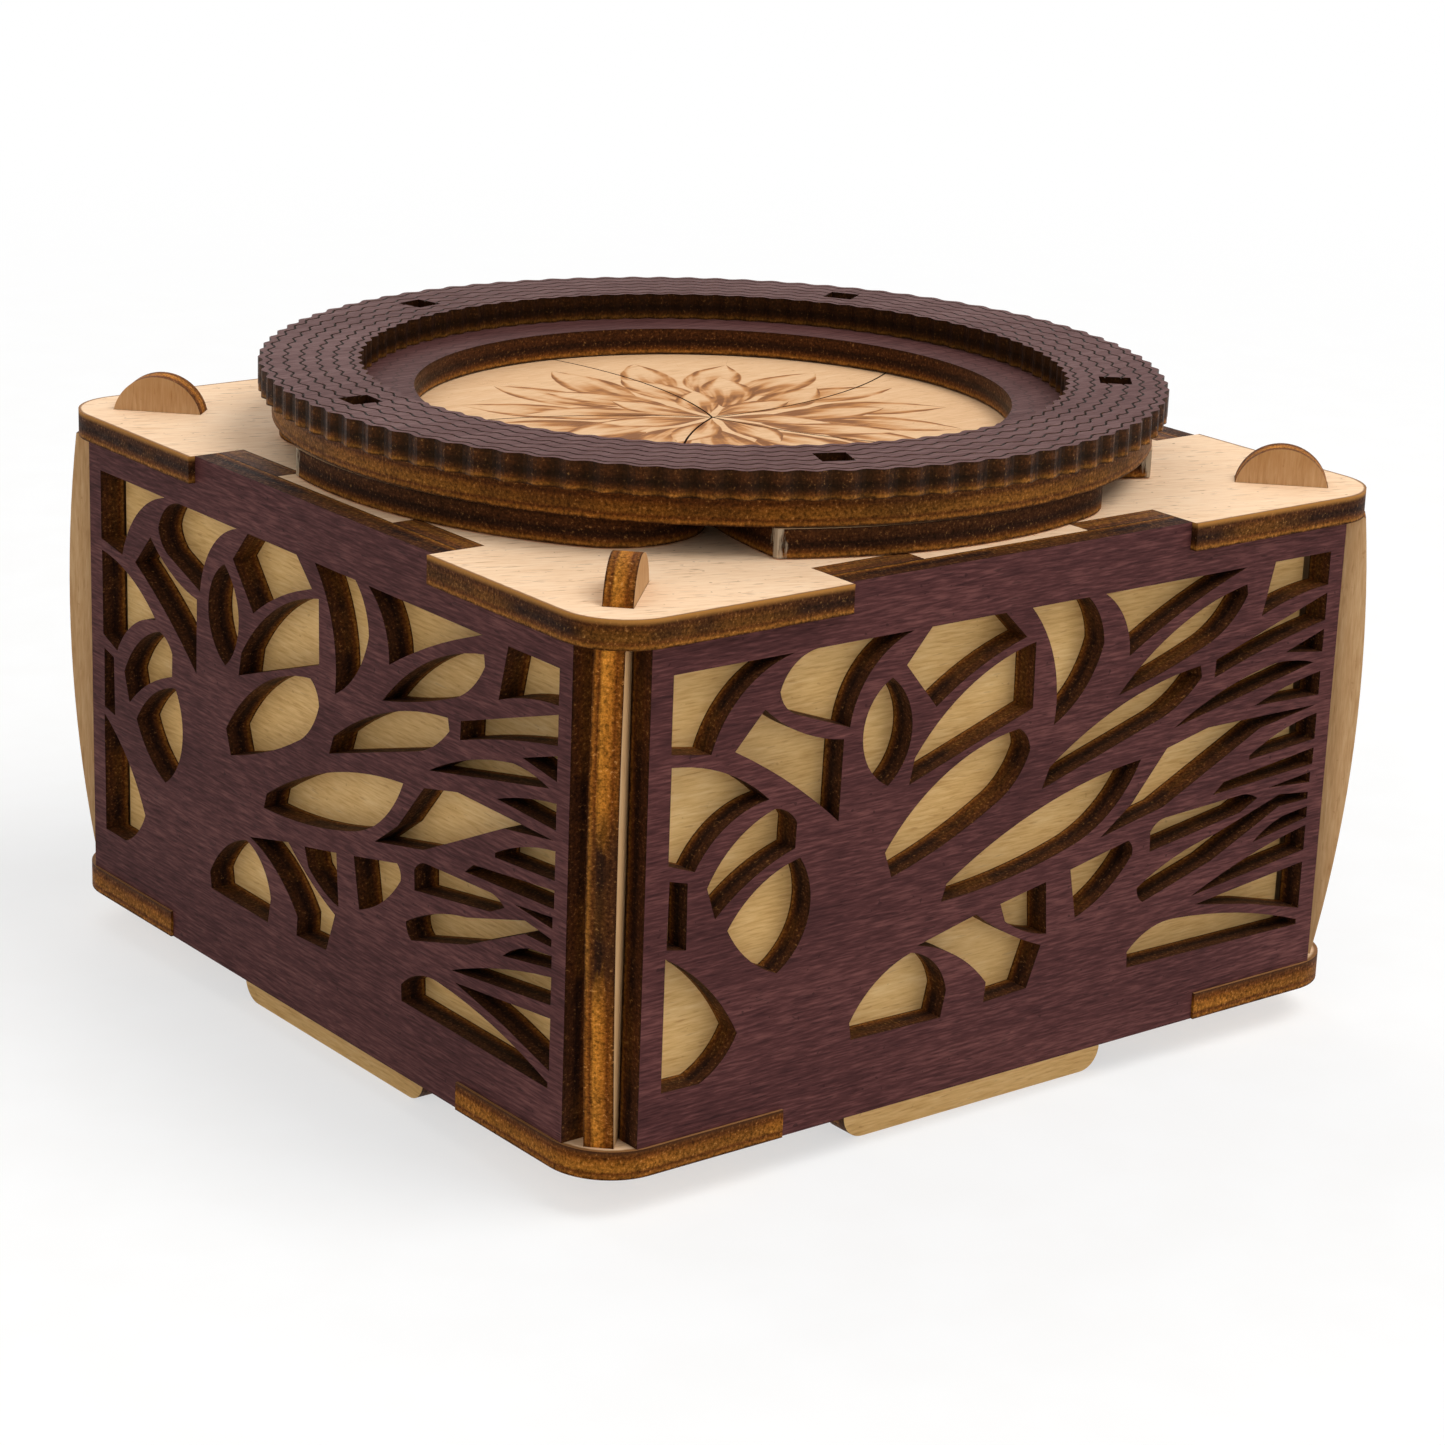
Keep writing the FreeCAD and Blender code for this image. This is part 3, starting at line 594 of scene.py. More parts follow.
@dataclass(frozen=True)
class ScorchedFinish(SheetFinish):
    """Pale sheet with a scorched rosette of leaves round the middle of the box."""

    frayed: Colour = linear(196, 178, 152)
    corner: tuple[float, float, float] = (0.0, 0.0, 0.0)
    fray: float = 1.0 * MM
    fray_core: float = 0.3 * MM
    fray_wander: float = 2.4 * MM
    fray_share: float = 0.65
    fibre: Pattern = Pattern((2600.0, 2600.0, 420.0), 3.0, 0.6)
    scorch_light: Colour = linear(188, 126, 68)
    scorch_dark: Colour = linear(118, 66, 24)
    scorch_tone: Span = (0.35, 1.0)
    scorch_cover: Span = (0.05, 0.6)
    scorch_share: float = 0.92
    waver: Pattern = Pattern((170.0, 170.0, 170.0), 2.0)
    waver_width: float = 1.6 * MM
    smoke: Pattern = Pattern((260.0, 900.0, 260.0))
    smoke_shades: Span = (0.8, 1.15)
    leaf: Leaf = Leaf()
    rows: tuple[LeafRow, ...] = (
        LeafRow(count=16, start=11.0, end=28.0, width=0.48, turn=0.0, sweep=0.02, strength=0.95),
        LeafRow(count=11, start=5.5, end=21.0, width=0.46, turn=0.3, sweep=-0.03, strength=1.0),
        LeafRow(count=7, start=0.5, end=13.0, width=0.44, turn=0.1, sweep=0.03, strength=1.0),
    )

    def mark_edge(self, sheet: Sheet, edge: Value) -> Value:
        """Frays the pointed outer corner to pale fibres.

        Args:
            sheet: What the finish reads.
            edge: Colour of the cut edge.

        Returns:
            The colour.
        """
        graph = sheet.graph
        away = graph.measure("DISTANCE", graph.scaled(sheet.place, FLAT), self.corner)
        fibre = graph.jitter(sheet.place, self.fibre)
        away = graph.fused(fibre, self.fray_wander, away)
        share = graph.remap(away, self.fray, self.fray_core, 0.0, self.fray_share)
        return graph.mix(share, edge, self.frayed)

    def face(self, sheet: Sheet) -> Socket:
        """Lays the rosette over the pale face.

        Args:
            sheet: What the finish reads.

        Returns:
            The colour.
        """
        graph, place, pale = sheet.graph, sheet.place, super().face(sheet)
        x, y, _ = graph.separate(place)
        waver = graph.jitter(place, self.waver)
        radius = graph.fused(waver, self.waver_width, graph.radius(place))
        turns = graph.maths("DIVIDE", graph.maths("ARCTAN2", y, x), math.tau)
        scorch: Value = 0.0
        for row in self.rows:
            burnt, inside = self.leaf.row(graph, radius, turns, row)
            under = graph.times(scorch, graph.minus(1.0, inside))
            scorch = graph.fused(burnt, inside, under)
        smoke = graph.remap(graph.noise(place, self.smoke), *COMMON, *self.smoke_shades)
        scorch = graph.times(scorch, smoke)
        burn = graph.mix(graph.remap(scorch, *self.scorch_tone), self.scorch_light,
                         self.scorch_dark)
        cover = graph.remap(scorch, *self.scorch_cover, 0.0, self.scorch_share)
        return graph.mix(cover, pale, burn)


@dataclass(frozen=True)
class EngravedFinish(SheetFinish):
    """Stained sheet whose engraved lines are burnt dark, with painted shade in the dips of its
    scalloped edge.
    """

    burnt: Colour = linear(40, 22, 20)
    burnt_share: float = 0.85
    groove: Span = (0.985, 0.95)
    upper_half: float = 0.5
    scallop: Span = (49.4 * MM, 50.0 * MM)
    # Painted shade in the scallops' dips: the cut edge's colour is scaled from the first share in
    # the dips to the second on the crests.
    dip_shade: Span = (0.45, 1.0)

    def mark_edge(self, sheet: Sheet, edge: Value) -> Value:
        """Darkens the dips between the scallops with painted shade in the hollows, and soot; the
        crests keep the cut edge's colour.
        """
        radius = sheet.graph.radius(sheet.place)
        return sheet.graph.shade(edge, sheet.graph.remap(radius, *self.scallop, *self.dip_shade))

    def face(self, sheet: Sheet) -> Socket:
        """Darkens the face where it lies below the sheet's surface.

        Args:
            sheet: What the finish reads.

        Returns:
            The colour.
        """
        graph, plain = sheet.graph, super().face(sheet)
        cut = graph.remap(sheet.depth, *self.groove, 0.0, self.burnt_share)
        above = graph.maths("GREATER_THAN", sheet.depth, self.upper_half)
        return graph.mix(graph.times(cut, above), plain, self.burnt)


@dataclass(frozen=True)
class SmokedFinish(SheetFinish):
    """Pale upright sheet with a toasted cap and a band of soot on its golden edge."""

    smoke: Colour = linear(158, 104, 46)
    smoke_share: float = 0.45
    cap: Span = (60.8 * MM, 64.5 * MM)
    cloud: Pattern = Pattern((180.0, 180.0, 180.0))
    cloud_shades: Span = (0.7, 1.0)
    soot_gold: float = -0.05
    soot_height: float = 33.0 * MM
    soot_reach: Span = (4.8 * MM, 11.2 * MM)
    soot_wander: float = 8.0 * MM
    ragged: Pattern = Pattern((160.0, 900.0, 900.0))

    def gold(self, sheet: Sheet) -> Value:
        """Leaves a band of soot half-way up the golden edge.

        Args:
            sheet: What the finish reads.

        Returns:
            How golden the edge is.
        """
        graph = sheet.graph
        height = graph.separate(sheet.place)[0]
        away = graph.maths("ABSOLUTE", graph.minus(height, self.soot_height))
        ragged = graph.jitter(sheet.place, self.ragged)
        away = graph.fused(ragged, self.soot_wander, away)
        return graph.remap(away, *self.soot_reach, self.soot_gold, self.cut.value)

    def face(self, sheet: Sheet) -> Socket:
        """Toasts the cap that stands above the top plate.

        Args:
            sheet: What the finish reads.

        Returns:
            The colour.
        """
        graph, place, plain = sheet.graph, sheet.place, super().face(sheet)
        height = graph.separate(place)[0]
        cloud = graph.remap(graph.noise(place, self.cloud), *COMMON, *self.cloud_shades)
        toast = graph.remap(height, *self.cap, 0.0, self.smoke_share)
        return graph.mix(graph.times(toast, cloud), plain, self.smoke)


@dataclass(frozen=True)
class RimmedFinish(SheetFinish):
    """Pale square plate, browned along its rim and with a lip on its cut edge."""

    rim: Colour = linear(122, 76, 28)
    rim_share: float = 0.9
    half: float = 53.0 * MM
    corner: float = 7.0 * MM
    width: float = 0.3 * MM
    ease: Span = (1.4, 0.6)
    ragged: Pattern = Pattern((900.0, 900.0, 900.0))
    ragged_share: float = 0.5
    lip: Colour = linear(176, 122, 60)
    lip_share: float = 0.85
    lip_depth: float = 0.7 * MM
    top: float = 61.3 * MM

    def mark_edge(self, sheet: Sheet, edge: Value) -> Value:
        """Gives the upper lip of the cut edge a colour of its own.

        Args:
            sheet: What the finish reads.
            edge: Colour of the cut edge.

        Returns:
            The colour.
        """
        graph = sheet.graph
        height = graph.separate(sheet.place)[2]
        share = graph.remap(height, self.top - self.lip_depth, self.top, 0.0, self.lip_share)
        return graph.mix(share, edge, self.lip)

    def face(self, sheet: Sheet) -> Socket:
        """Browns the face close to the plate's outline.

        Args:
            sheet: What the finish reads.

        Returns:
            The colour.
        """
        graph, place, plain = sheet.graph, sheet.place, super().face(sheet)
        x, y, _ = graph.separate(graph.node("ShaderNodeTexCoord").outputs["Object"])
        squares = []
        for axis in (x, y):
            over = graph.minus(graph.maths("ABSOLUTE", axis), self.half - self.corner)
            over = graph.maths("MAXIMUM", over, 0.0)
            squares.append(graph.times(over, over))
        reach = graph.maths("SQRT", graph.maths("ADD", *squares))
        inside = graph.minus(self.corner, reach)
        ragged = graph.jitter(place, self.ragged)
        inside = graph.fused(ragged, self.ragged_share * self.width, inside)
        share = graph.remap(inside, *(ease * self.width for ease in self.ease), 0.0, self.rim_share)
        return graph.mix(share, plain, self.rim)


@dataclass(frozen=True)
class AmberFinish(SheetFinish):
    """Stained ring with an amber outer edge, a dark inner wall and faint scored waves."""

    inner_gold: float = -0.3
    fade: Span = (36.0 * MM, 44.0 * MM)
    waves: float = 90.0
    wave_depth: float = 0.25 * MM
    wave_step: float = 1.9 * MM
    line: Colour = linear(44, 25, 24)
    line_ease: Span = (0.09, 0.03)
    line_share: float = 0.6

    def face(self, sheet: Sheet) -> Socket:
        """Scores faint waves round the ledge inside the grip ring.

        Args:
            sheet: What the finish reads.

        Returns:
            The colour.
        """
        graph, place, plain = sheet.graph, sheet.place, super().face(sheet)
        x, y, _ = graph.separate(place)
        angle = graph.maths("ARCTAN2", y, x)
        swing = graph.maths("COSINE", graph.times(angle, self.waves))
        lane = graph.fused(swing, self.wave_depth, graph.radius(place))
        lane = graph.maths("FRACT", graph.maths("DIVIDE", lane, self.wave_step))
        away = graph.maths("ABSOLUTE", graph.minus(lane, 0.5))
        return graph.mix(graph.remap(away, *self.line_ease, 0.0, self.line_share), plain, self.line)

    def gold(self, sheet: Sheet) -> Value:
        """Fades the gold towards the middle of the ring."""
        radius = sheet.graph.radius(sheet.place)
        return sheet.graph.remap(radius, *self.fade, self.inner_gold, self.cut.value)


WARM_SHEEN = linear(255, 205, 150)
TOP_BIRCH = RimmedFinish(
    "top_birch", linear(229, 189, 149), linear(242, 207, 170), linear(248, 218, 184),
    linear(140, 98, 66), fleck_share=0.55, cut=Cut.CHARRED, gloss=0.1, sheen=WARM_SHEEN)
FLOOR_BIRCH = RimmedFinish(
    "floor_birch", linear(212, 174, 132), linear(226, 190, 150), linear(236, 204, 168),
    linear(140, 98, 66), fleck_share=0.5, cut=Cut.AMBER, gloss=0.1, sheen=WARM_SHEEN,
    half=52.5 * MM, width=0.5 * MM, lip=linear(62, 36, 20), top=7.3 * MM)
WARM_BIRCH = SheetFinish(
    "warm_birch", linear(194, 150, 88), linear(217, 175, 112), linear(230, 194, 136),
    linear(160, 112, 60), fleck_share=0.35, cut=Cut.BROWN)
FIN_BIRCH = SmokedFinish(
    "fin_birch", linear(168, 128, 86), linear(186, 147, 104), linear(199, 163, 121),
    linear(144, 100, 60), fleck_share=0.35, cut=Cut.GOLDEN, gloss=0.1, sheen=WARM_SHEEN)
PURPLE_STAIN = SheetFinish(
    "purple_stain", linear(46, 23, 23), linear(73, 39, 38), linear(106, 64, 60),
    linear(38, 18, 18), fleck_share=0.6, cut=Cut.SOOTY, roughness=0.62, gloss=0.09)
RING_STAIN = EngravedFinish(
    "ring_stain", linear(64, 37, 37), linear(84, 53, 52), linear(106, 73, 70),
    linear(50, 28, 28), fleck_share=0.4, cut=Cut.BLACK, roughness=0.55, gloss=0.12,
    edge_roughness=0.4, sheen=WARM_SHEEN)
AMBER_STAIN = AmberFinish(
    "amber_stain", linear(60, 35, 35), linear(78, 48, 47), linear(97, 65, 62),
    linear(48, 26, 26), fleck_share=0.4, cut=Cut.BROWN, roughness=0.55, gloss=0.1,
    edge_roughness=0.5, sheen=WARM_SHEEN)
BLADE_SCORCH = ScorchedFinish(
    "blade_scorch", linear(208, 164, 120), linear(221, 179, 136), linear(230, 193, 152),
    linear(160, 112, 72), fleck_share=0.3, cut=Cut.BLACK, gloss=0.1, sheen=WARM_SHEEN)
DARK_PEG = SheetFinish(
    "dark_peg", linear(34, 18, 12), linear(52, 28, 18), linear(74, 42, 26),
    linear(24, 12, 8), fleck_share=0.5, cut=Cut.BLACK, roughness=0.7)


def dress(node: bpy.types.Object, material: bpy.types.Material) -> None:
    """Gives a node or piece one material all over.

    Args:
        node: The object.
        material: Its material.
    """
    if not node.material_slots:
        node.data.materials.append(material)
    for slot in node.material_slots:
        slot.material = material
    LOG.info("dressed %s with %s", node.name, material.name)


@dataclass
class BoxShell:
    """Plates, walls and fins, which stand still."""

    nodes: dict[str, bpy.types.Object]
    sides: tuple[str, ...] = ("front", "right", "back", "left")
    first_side: float = -90.0
    corners: tuple[str, ...] = ("front_right", "back_right", "back_left", "front_left")
    first_corner: float = -45.0

    @staticmethod
    def outward(index: int, first: float) -> Vector:
        """Gives the way that a side or corner points.

        Args:
            index: Its number, anticlockwise.
            first: Direction of the first one, in degrees.

        Returns:
            The level direction.
        """
        angle = math.radians(first + 90.0 * index)
        return Vector((math.cos(angle), math.sin(angle), 0.0))

    @staticmethod
    def back_of(name: str, normal: Vector) -> float:
        """Measures where the back of a sheet lies along its normal, in metres."""
        low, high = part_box(name)
        return min(low.dot(normal), high.dot(normal))

    def dress_plates(self) -> None:
        """Dresses both plates."""
        for name, finish in (("top_plate", TOP_BIRCH), ("bottom_plate", FLOOR_BIRCH)):
            plane = SheetPlane(PLATE_GRAIN, UP, self.back_of(name, UP))
            dress(self.nodes[name], finish.build(name, plane))

    def dress_walls(self) -> None:
        """Dresses the fretted panels and the backing panels, each along its own side."""
        for index, side in enumerate(self.sides):
            normal = self.outward(index, self.first_side)
            for kind, finish in (("fretted_panel", PURPLE_STAIN), ("backing_panel", WARM_BIRCH)):
                name = f"{kind}_{side}"
                plane = SheetPlane(UP.cross(normal), normal, self.back_of(name, normal))
                dress(self.nodes[name], finish.build(name, plane))

    def dress_fins(self) -> None:
        """Dresses the corner fins, whose sheets stand on the diagonals."""
        for index, corner in enumerate(self.corners):
            normal = UP.cross(self.outward(index, self.first_corner))
            name = f"corner_fin_{corner}"
            dress(self.nodes[name], FIN_BIRCH.build(name, SheetPlane(UP, normal, -SHEET / 2)))

    def build(self) -> None:
        """Dresses the whole shell."""
        self.dress_plates()
        self.dress_walls()
        self.dress_fins()


@dataclass
class Iris:
    """Middle ring, blades, posts and pins."""

    nodes: dict[str, bpy.types.Object]
    count: int = 5
    corner_radius: float = 48.6 * MM
    first_corner: float = math.radians(24.0)

    def dress_node(self, name: str, finish: SheetFinish) -> None:
        """Dresses one flat node."""
        plane = SheetPlane(ALONG_X, UP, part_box(name)[0].z)
        dress(self.nodes[name], finish.build(name, plane))

    def build(self) -> None:
        """Dresses every piece of the iris under the grip ring."""
        self.dress_node("middle_ring", AMBER_STAIN)
        for number in range(1, self.count + 1):
            angle = self.first_corner + math.tau * (number - 1) / self.count
            corner = (self.corner_radius * math.cos(angle), self.corner_radius * math.sin(angle),
                      0.0)
            self.dress_node(f"iris_blade_{number}", replace(BLADE_SCORCH, corner=corner))
            self.dress_node(f"ring_post_{number}", DARK_PEG)
            self.dress_node(f"guide_pin_{number}", DARK_PEG)


@dataclass
class GripRing:
    """The scalloped ring with engraved waves, made by Geometry Nodes in place of the plain node."""

    scallops: int = 90
    outer_depth: float = 0.6 * MM
    inner_depth: float = 0.5 * MM
    width: float = 11.3 * MM
    rows: int = 6
    steps_per_row: int = 12
    steps_per_scallop: int = 8
    shell_points: int = 4
    shell_rim: float = 0.3
    groove_depth: float = 0.22 * MM
    groove_share: float = 0.09
    mouth_side: float = 3.5 * MM
    seat_side: float = 4.5 * MM
    seat_depth: float = 1.1 * MM
    hole_radius: float = 44.2 * MM
    hole_phase: float = math.radians(32.0)
    hole_count: int = 5
    sockets: dict[str, str] = field(default_factory=dict)

    def tree(self, labels: Sequence[str]) -> bpy.types.NodeTree:
        """Builds the tree: a grooved top, walls and underside, less square mouths and post seats.

        Args:
            labels: Names of its inputs.

        Returns:
            The tree, with its inputs' identifiers kept in sockets.
        """
        tree = bpy.data.node_groups.new("ScallopedRing", "GeometryNodeTree")
        tree.interface.new_socket("Geometry", in_out="OUTPUT", socket_type="NodeSocketGeometry")
        for label in labels:
            kind = "NodeSocketMaterial" if label == "Material" else "NodeSocketFloat"
            made = tree.interface.new_socket(label, in_out="INPUT", socket_type=kind)
            self.sockets[label] = made.identifier
        graph = Graph(tree)
        source = graph.node("NodeGroupInput").outputs
        top = self.surface(graph, source, self.rows * self.steps_per_row + 1, grooved=True)
        shell = self.surface(graph, source, self.shell_points, grooved=False)
        joined = graph.node("GeometryNodeJoinGeometry")
        graph.put(joined.inputs[0], top)
        graph.put(joined.inputs[0], graph.first("GeometryNodeFlipFaces", {0: shell}))
        inputs = {"Geometry": joined.outputs[0], "Distance": TOUCH}
        whole = graph.first("GeometryNodeMergeByDistance", inputs)
        sunk = graph.times(source["Seat Depth"], -1.0)
        stepped = graph.node("GeometryNodeMeshBoolean", operation="UNION", solver="EXACT")
        for side, level in (("Mouth Side", source["Top"]), ("Seat Side", sunk)):
            graph.put(stepped.inputs[1], self.cutters(graph, source, source[side], level))
        pierced = graph.node("GeometryNodeMeshBoolean", {0: whole, 1: stepped.outputs[0]},
                             operation="DIFFERENCE", solver="EXACT").outputs[0]
        real = graph.first("GeometryNodeRealizeInstances", {0: pierced})
        inputs = {"Geometry": real, "Shade Smooth": False}
        flat = graph.first("GeometryNodeSetShadeSmooth", inputs)
        inputs = {"Geometry": flat, "Material": source["Material"]}
        painted = graph.first("GeometryNodeSetMaterial", inputs)
        graph.node("NodeGroupOutput", {"Geometry": painted})
        return tree

    def surface(self, graph: Graph, source: Any, across: int, grooved: bool) -> Socket:
        """Bends a grid into the ring's top, or into its walls and underside.

        Args:
            graph: The tree's graph.
            source: The tree's inputs.
            across: Points across the ring.
            grooved: Whether this is the grooved top.

        Returns:
            The bent grid.
        """
        around = self.scallops * self.steps_per_scallop + 1
        inputs = {"Size X": 1.0, "Size Y": 1.0, "Vertices X": across, "Vertices Y": around}
        grid = graph.first("GeometryNodeMeshGrid", inputs)
        x, y, _ = graph.separate(graph.first("GeometryNodeInputPosition"))
        angle = graph.times(y, math.tau)
        if grooved:
            place = graph.maths("ADD", x, 0.5)
            lane = graph.maths("FRACT", graph.times(place, source["Rows"]))
            away = graph.maths("ABSOLUTE", graph.minus(lane, 0.5))
            groove = graph.remap(away, 0.0, source["Groove Share"], 1.0, 0.0, smooth=False)
            sunk = graph.times(groove, source["Groove Depth"])
            height = graph.minus(source["Top"], sunk)
        else:
            place = graph.maths("GREATER_THAN", x, 0.0)
            rim = graph.maths("GREATER_THAN", graph.maths("ABSOLUTE", x), self.shell_rim)
            rise = graph.minus(source["Top"], source["Bottom"])
            height = graph.fused(rim, rise, source["Bottom"])
        depth = graph.remap(place, 0.0, 1.0, source["Inner Depth"], source["Outer Depth"],
                            smooth=False)
        half = graph.times(depth, 0.5)
        inner = graph.fused(source["Inner Depth"], 0.5, source["Inner Radius"])
        outer = graph.fused(source["Outer Depth"], -0.5, source["Outer Radius"])
        radius = graph.remap(place, 0.0, 1.0, inner, outer, smooth=False)
        wave = graph.maths("COSINE", graph.times(angle, source["Scallops"]))
        radius = graph.fused(wave, half, radius)
        bent = graph.combine(graph.times(radius, graph.maths("COSINE", angle)),
                             graph.times(radius, graph.maths("SINE", angle)), height)
        inputs = {"Geometry": grid, "Position": bent}
        return graph.first("GeometryNodeSetPosition", inputs)

    def cutters(self, graph: Graph, source: Any, side: Value, level: Value) -> Socket:
        """Sets a tall square cutter on the place of each post.

        Args:
            graph: The tree's graph.
            source: The tree's inputs.
            side: Side of the square.
            level: Height of the cutters' middle.

        Returns:
            The cutters.
        """
        inputs = {"Vertices": self.hole_count, "Radius": source["Hole Radius"]}
        circle = graph.first("GeometryNodeMeshCircle", inputs)
        size = graph.combine(side, side, graph.times(source["Top"], 2.0))
        cube = graph.first("GeometryNodeMeshCube", {"Size": size})
        x, y, _ = graph.separate(graph.first("GeometryNodeInputPosition"))
        turn = graph.combine(z=graph.maths("ARCTAN2", y, x))
        inputs = {"Points": circle, "Instance": cube, "Rotation": turn}
        placed = graph.first("GeometryNodeInstanceOnPoints", inputs)
        inputs = {"Geometry": placed, "Rotation": graph.combine(z=source["Hole Phase"]),
                  "Translation": graph.combine(z=level)}
        turned = graph.first("GeometryNodeTransform", inputs)
        return graph.first("GeometryNodeRealizeInstances", {0: turned})

    def build(self) -> None:
        """Makes the ring in place of its CAD node."""
        low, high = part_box("grip_ring")
        radius = high.y
        values = {
            "Outer Radius": radius, "Inner Radius": radius - self.width,
            "Outer Depth": self.outer_depth, "Inner Depth": self.inner_depth,
            "Top": high.z - TOUCH, "Bottom": low.z,
            "Scallops": float(self.scallops), "Rows": float(self.rows),
            "Groove Depth": self.groove_depth, "Groove Share": self.groove_share,
            "Mouth Side": self.mouth_side, "Seat Side": self.seat_side,
            "Seat Depth": self.seat_depth, "Hole Radius": self.hole_radius,
            "Hole Phase": self.hole_phase,
            "Material": RING_STAIN.build("grip_ring", SheetPlane(ALONG_X, UP, low.z)),
        }
        holder = bpy.data.objects.new("ring_holder", bpy.data.meshes.new("ring_holder"))
        bpy.context.scene.collection.objects.link(holder)
        modifier = holder.modifiers.new("ScallopedRing", "NODES")
        modifier.node_group = self.tree(list(values))
        for label, value in values.items():
            modifier[self.sockets[label]] = value
        graph = bpy.context.evaluated_depsgraph_get()
        mesh = bpy.data.meshes.new_from_object(holder.evaluated_get(graph), depsgraph=graph)
        mesh.name = "engraved_grip_ring"
        ring = bpy.data.objects.new("engraved_grip_ring", mesh)
        bpy.context.scene.collection.objects.link(ring)
        bpy.data.objects.remove(holder)
        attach(ring, "ring")
        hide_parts("grip_ring")
        LOG.info("made %s with %d faces", ring.name, len(mesh.polygons))


@dataclass(frozen=True)
class Lamp:
    """A square soft lamp that faces the box: its place and side in metres, its power in watts."""

    name: str
    place: tuple[float, float, float]
    side: float
    power: float


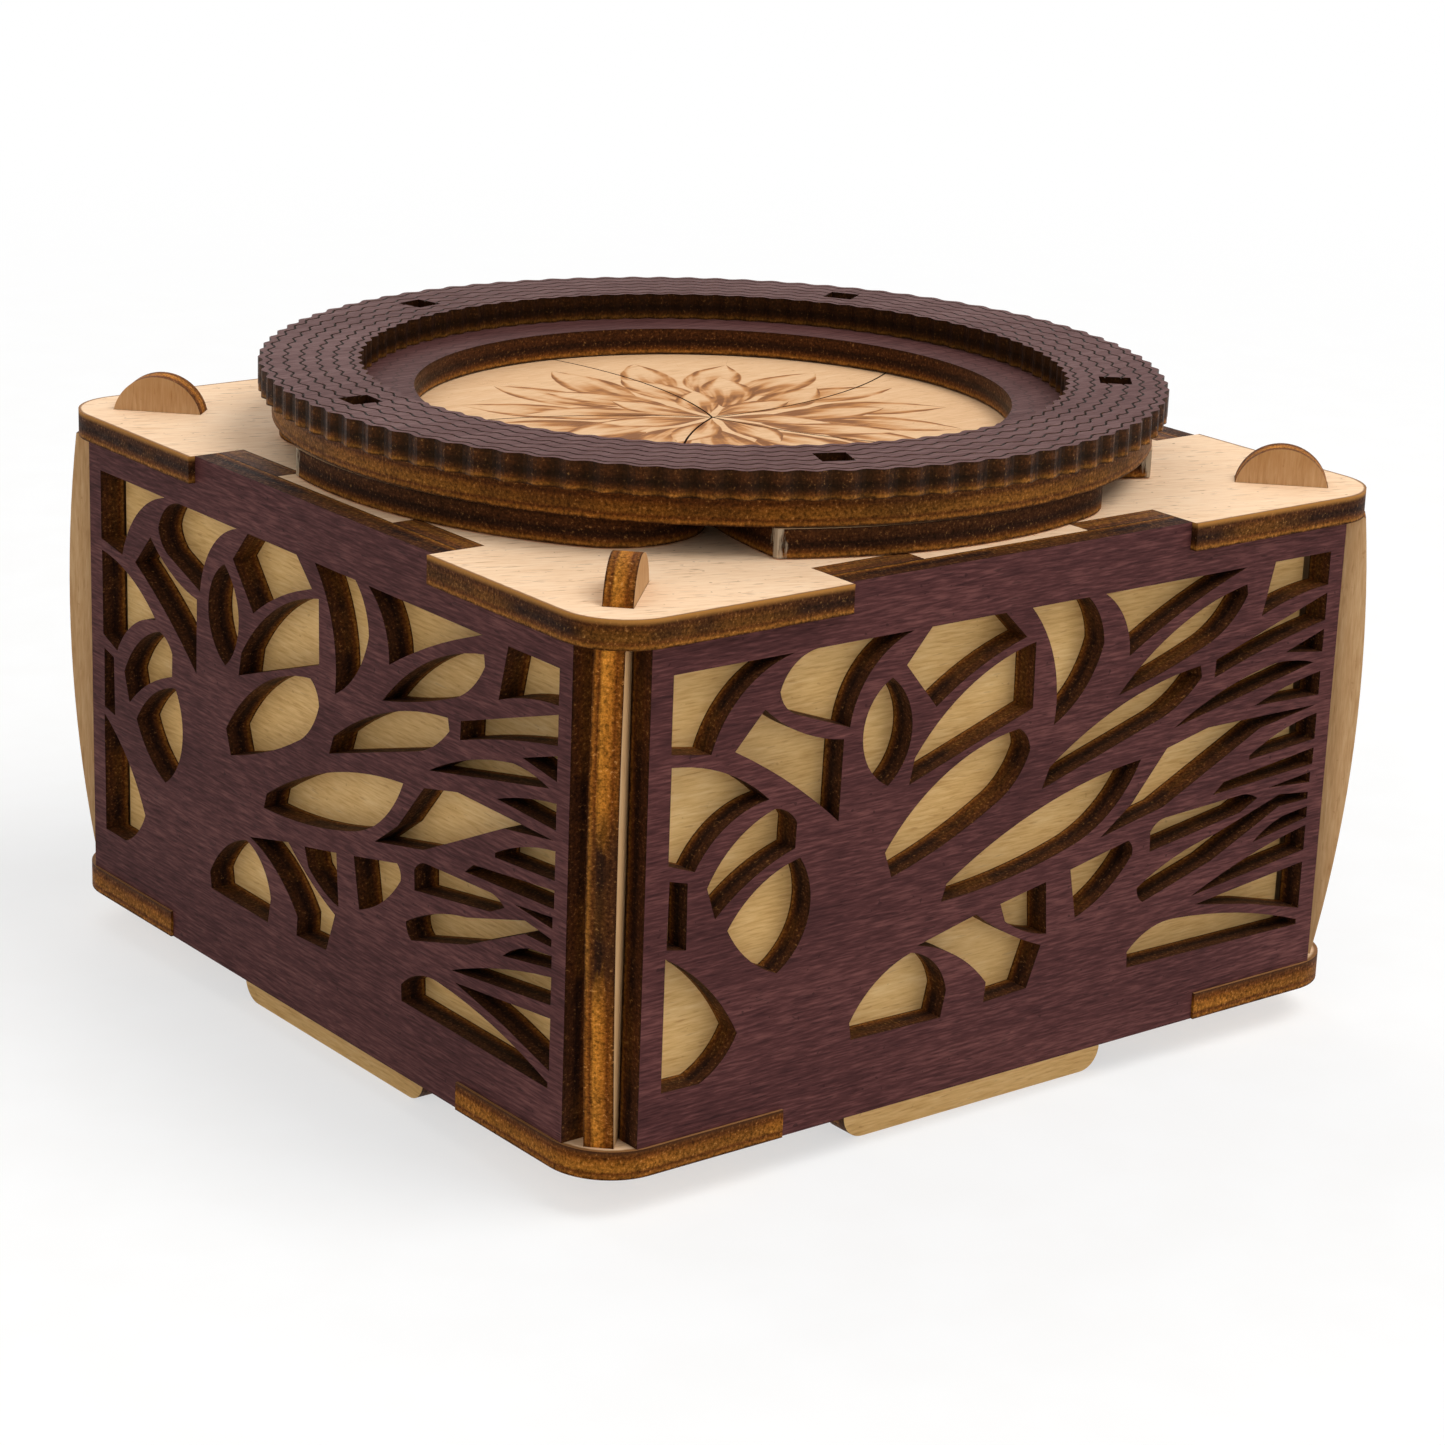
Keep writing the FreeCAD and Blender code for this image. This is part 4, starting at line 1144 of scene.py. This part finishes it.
@dataclass
class Studio:
    """Floor, light and the camera at the photo's viewing angle."""

    azimuth: float = math.radians(-38.4)
    elevation: float = math.radians(17.62)
    roll: float = math.radians(2.18)
    distance: float = 0.4155
    focal_pixels: float = 3667.0
    aim_right: float = 0.0022
    aim_up: float = -0.0056
    aim_height: float = 0.0348
    sensor: float = 36.0
    clip_start: float = 0.01
    floor_half: float = 6.0
    paper: Colour = linear(246, 245, 243)
    paper_light: Colour = linear(249, 249, 248)
    paper_roughness: float = 0.9
    tooth: Pattern = Pattern((90.0, 90.0, 90.0), 2.0)
    floor_white: float = 0.6
    floor_fade: Span = (0.12, 0.6)
    ambient: float = 0.42
    lamp_aim: Vector = field(default_factory=lambda: Vector((0.0, 0.0, 0.03)))
    lamps: tuple[Lamp, ...] = (
        Lamp("key", (0.3, -0.55, 1.1), side=0.7, power=9.5),
        Lamp("fill", (-1.0, -0.35, 0.6), side=0.9, power=2.5),
        Lamp("front", (0.35, -1.1, 0.25), side=0.8, power=2.1),
        Lamp("back", (0.1, 0.8, 0.9), side=0.8, power=3.0),
    )

    @staticmethod
    def seen(graph: Graph) -> Socket:
        """Marks the rays that show the background rather than light the box.

        Args:
            graph: The material's or the world's graph.

        Returns:
            One for a ray that sees the background, else zero.
        """
        path = graph.node("ShaderNodeLightPath").outputs
        shown = graph.maths("MAXIMUM", path["Is Camera Ray"], path["Is Transmission Ray"])
        return graph.maths("MAXIMUM", shown, path["Is Glossy Ray"])

    def floor_paper(self) -> bpy.types.Material:
        """Makes the pale paper, which fades into the white background.

        Returns:
            The material.
        """
        material = bpy.data.materials.new("floor_paper")
        material.use_nodes = True
        graph = Graph(material.node_tree)
        shader = material.node_tree.nodes["Principled BSDF"]
        place = graph.node("ShaderNodeTexCoord").outputs["Object"]
        tooth = graph.remap(graph.noise(place, self.tooth), *COMMON)
        graph.put(shader.inputs["Base Color"], graph.mix(tooth, self.paper, self.paper_light))
        shader.inputs["Roughness"].default_value = self.paper_roughness
        shader.inputs["Specular IOR Level"].default_value = 0.0
        glow = graph.node("ShaderNodeEmission", {"Strength": 1.0})
        away = graph.measure("LENGTH", place)
        white = graph.remap(away, *self.floor_fade, self.floor_white, 1.0)
        share = graph.times(self.seen(graph), white)
        inputs = {0: share, 1: shader.outputs[0], 2: glow.outputs[0]}
        output = material.node_tree.nodes["Material Output"].inputs["Surface"]
        graph.put(output, graph.first("ShaderNodeMixShader", inputs))
        return material

    def floor(self) -> None:
        """Lays the pale floor."""
        mesh = bpy.data.meshes.new("floor")
        half = self.floor_half
        corners = [(-half, -half, 0.0), (half, -half, 0.0), (half, half, 0.0), (-half, half, 0.0)]
        mesh.from_pydata(corners, [], [(0, 1, 2, 3)])
        floor = bpy.data.objects.new("floor", mesh)
        bpy.context.scene.collection.objects.link(floor)
        mesh.materials.append(self.floor_paper())

    def world(self) -> None:
        """Lights the scene evenly and shows white behind it."""
        world = bpy.data.worlds.new("studio")
        bpy.context.scene.world = world
        world.use_nodes = True
        graph = Graph(world.node_tree)
        background = world.node_tree.nodes["Background"]
        background.inputs["Color"].default_value = WHITE
        strength = graph.remap(self.seen(graph), 0.0, 1.0, self.ambient, 1.0, smooth=False)
        graph.put(background.inputs["Strength"], strength)

    def hang(self, lamp: Lamp) -> None:
        """Hangs a lamp.

        Args:
            lamp: The lamp.
        """
        data = bpy.data.lights.new(lamp.name, "AREA")
        data.size = lamp.side
        data.energy = lamp.power
        hung = bpy.data.objects.new(lamp.name, data)
        hung.location = lamp.place
        hung.rotation_mode = "QUATERNION"
        hung.rotation_quaternion = (self.lamp_aim - Vector(lamp.place)).to_track_quat("-Z", "Y")
        bpy.context.scene.collection.objects.link(hung)

    def camera(self) -> None:
        """Sets the camera at the angle, roll and distance of the photo."""
        flat = math.cos(self.elevation)
        back = Vector((math.sin(self.azimuth) * flat, -math.cos(self.azimuth) * flat,
                       math.sin(self.elevation)))
        right = (-back).cross(UP).normalized()
        up = right.cross(-back)
        turned_right = right * math.cos(self.roll) + up * math.sin(self.roll)
        turned_up = up * math.cos(self.roll) - right * math.sin(self.roll)
        aim = turned_right * self.aim_right + turned_up * self.aim_up + UP * self.aim_height
        data = bpy.data.cameras.new("camera")
        data.sensor_width = self.sensor
        data.lens = self.sensor * self.focal_pixels / PHOTO_PIXELS
        data.clip_start = self.clip_start
        camera = bpy.data.objects.new("camera", data)
        bpy.context.scene.collection.objects.link(camera)
        axes = Matrix((turned_right, turned_up, back)).transposed().to_4x4()
        camera.matrix_world = Matrix.Translation(aim + back * self.distance) @ axes
        bpy.context.scene.camera = camera

    def build(self) -> None:
        """Sets up the studio."""
        self.floor()
        self.world()
        for lamp in self.lamps:
            self.hang(lamp)
        self.camera()
        bpy.context.scene.view_settings.view_transform = "Standard"


def main() -> None:
    """Loads the frame, dresses every piece and sets up the studio."""
    logging.basicConfig(level=logging.INFO, format="%(message)s")
    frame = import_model()
    nodes = frame["nodes"]
    BoxShell(nodes).build()
    Iris(nodes).build()
    GripRing().build()
    Studio().build()


if __name__ == "__main__":
    main()
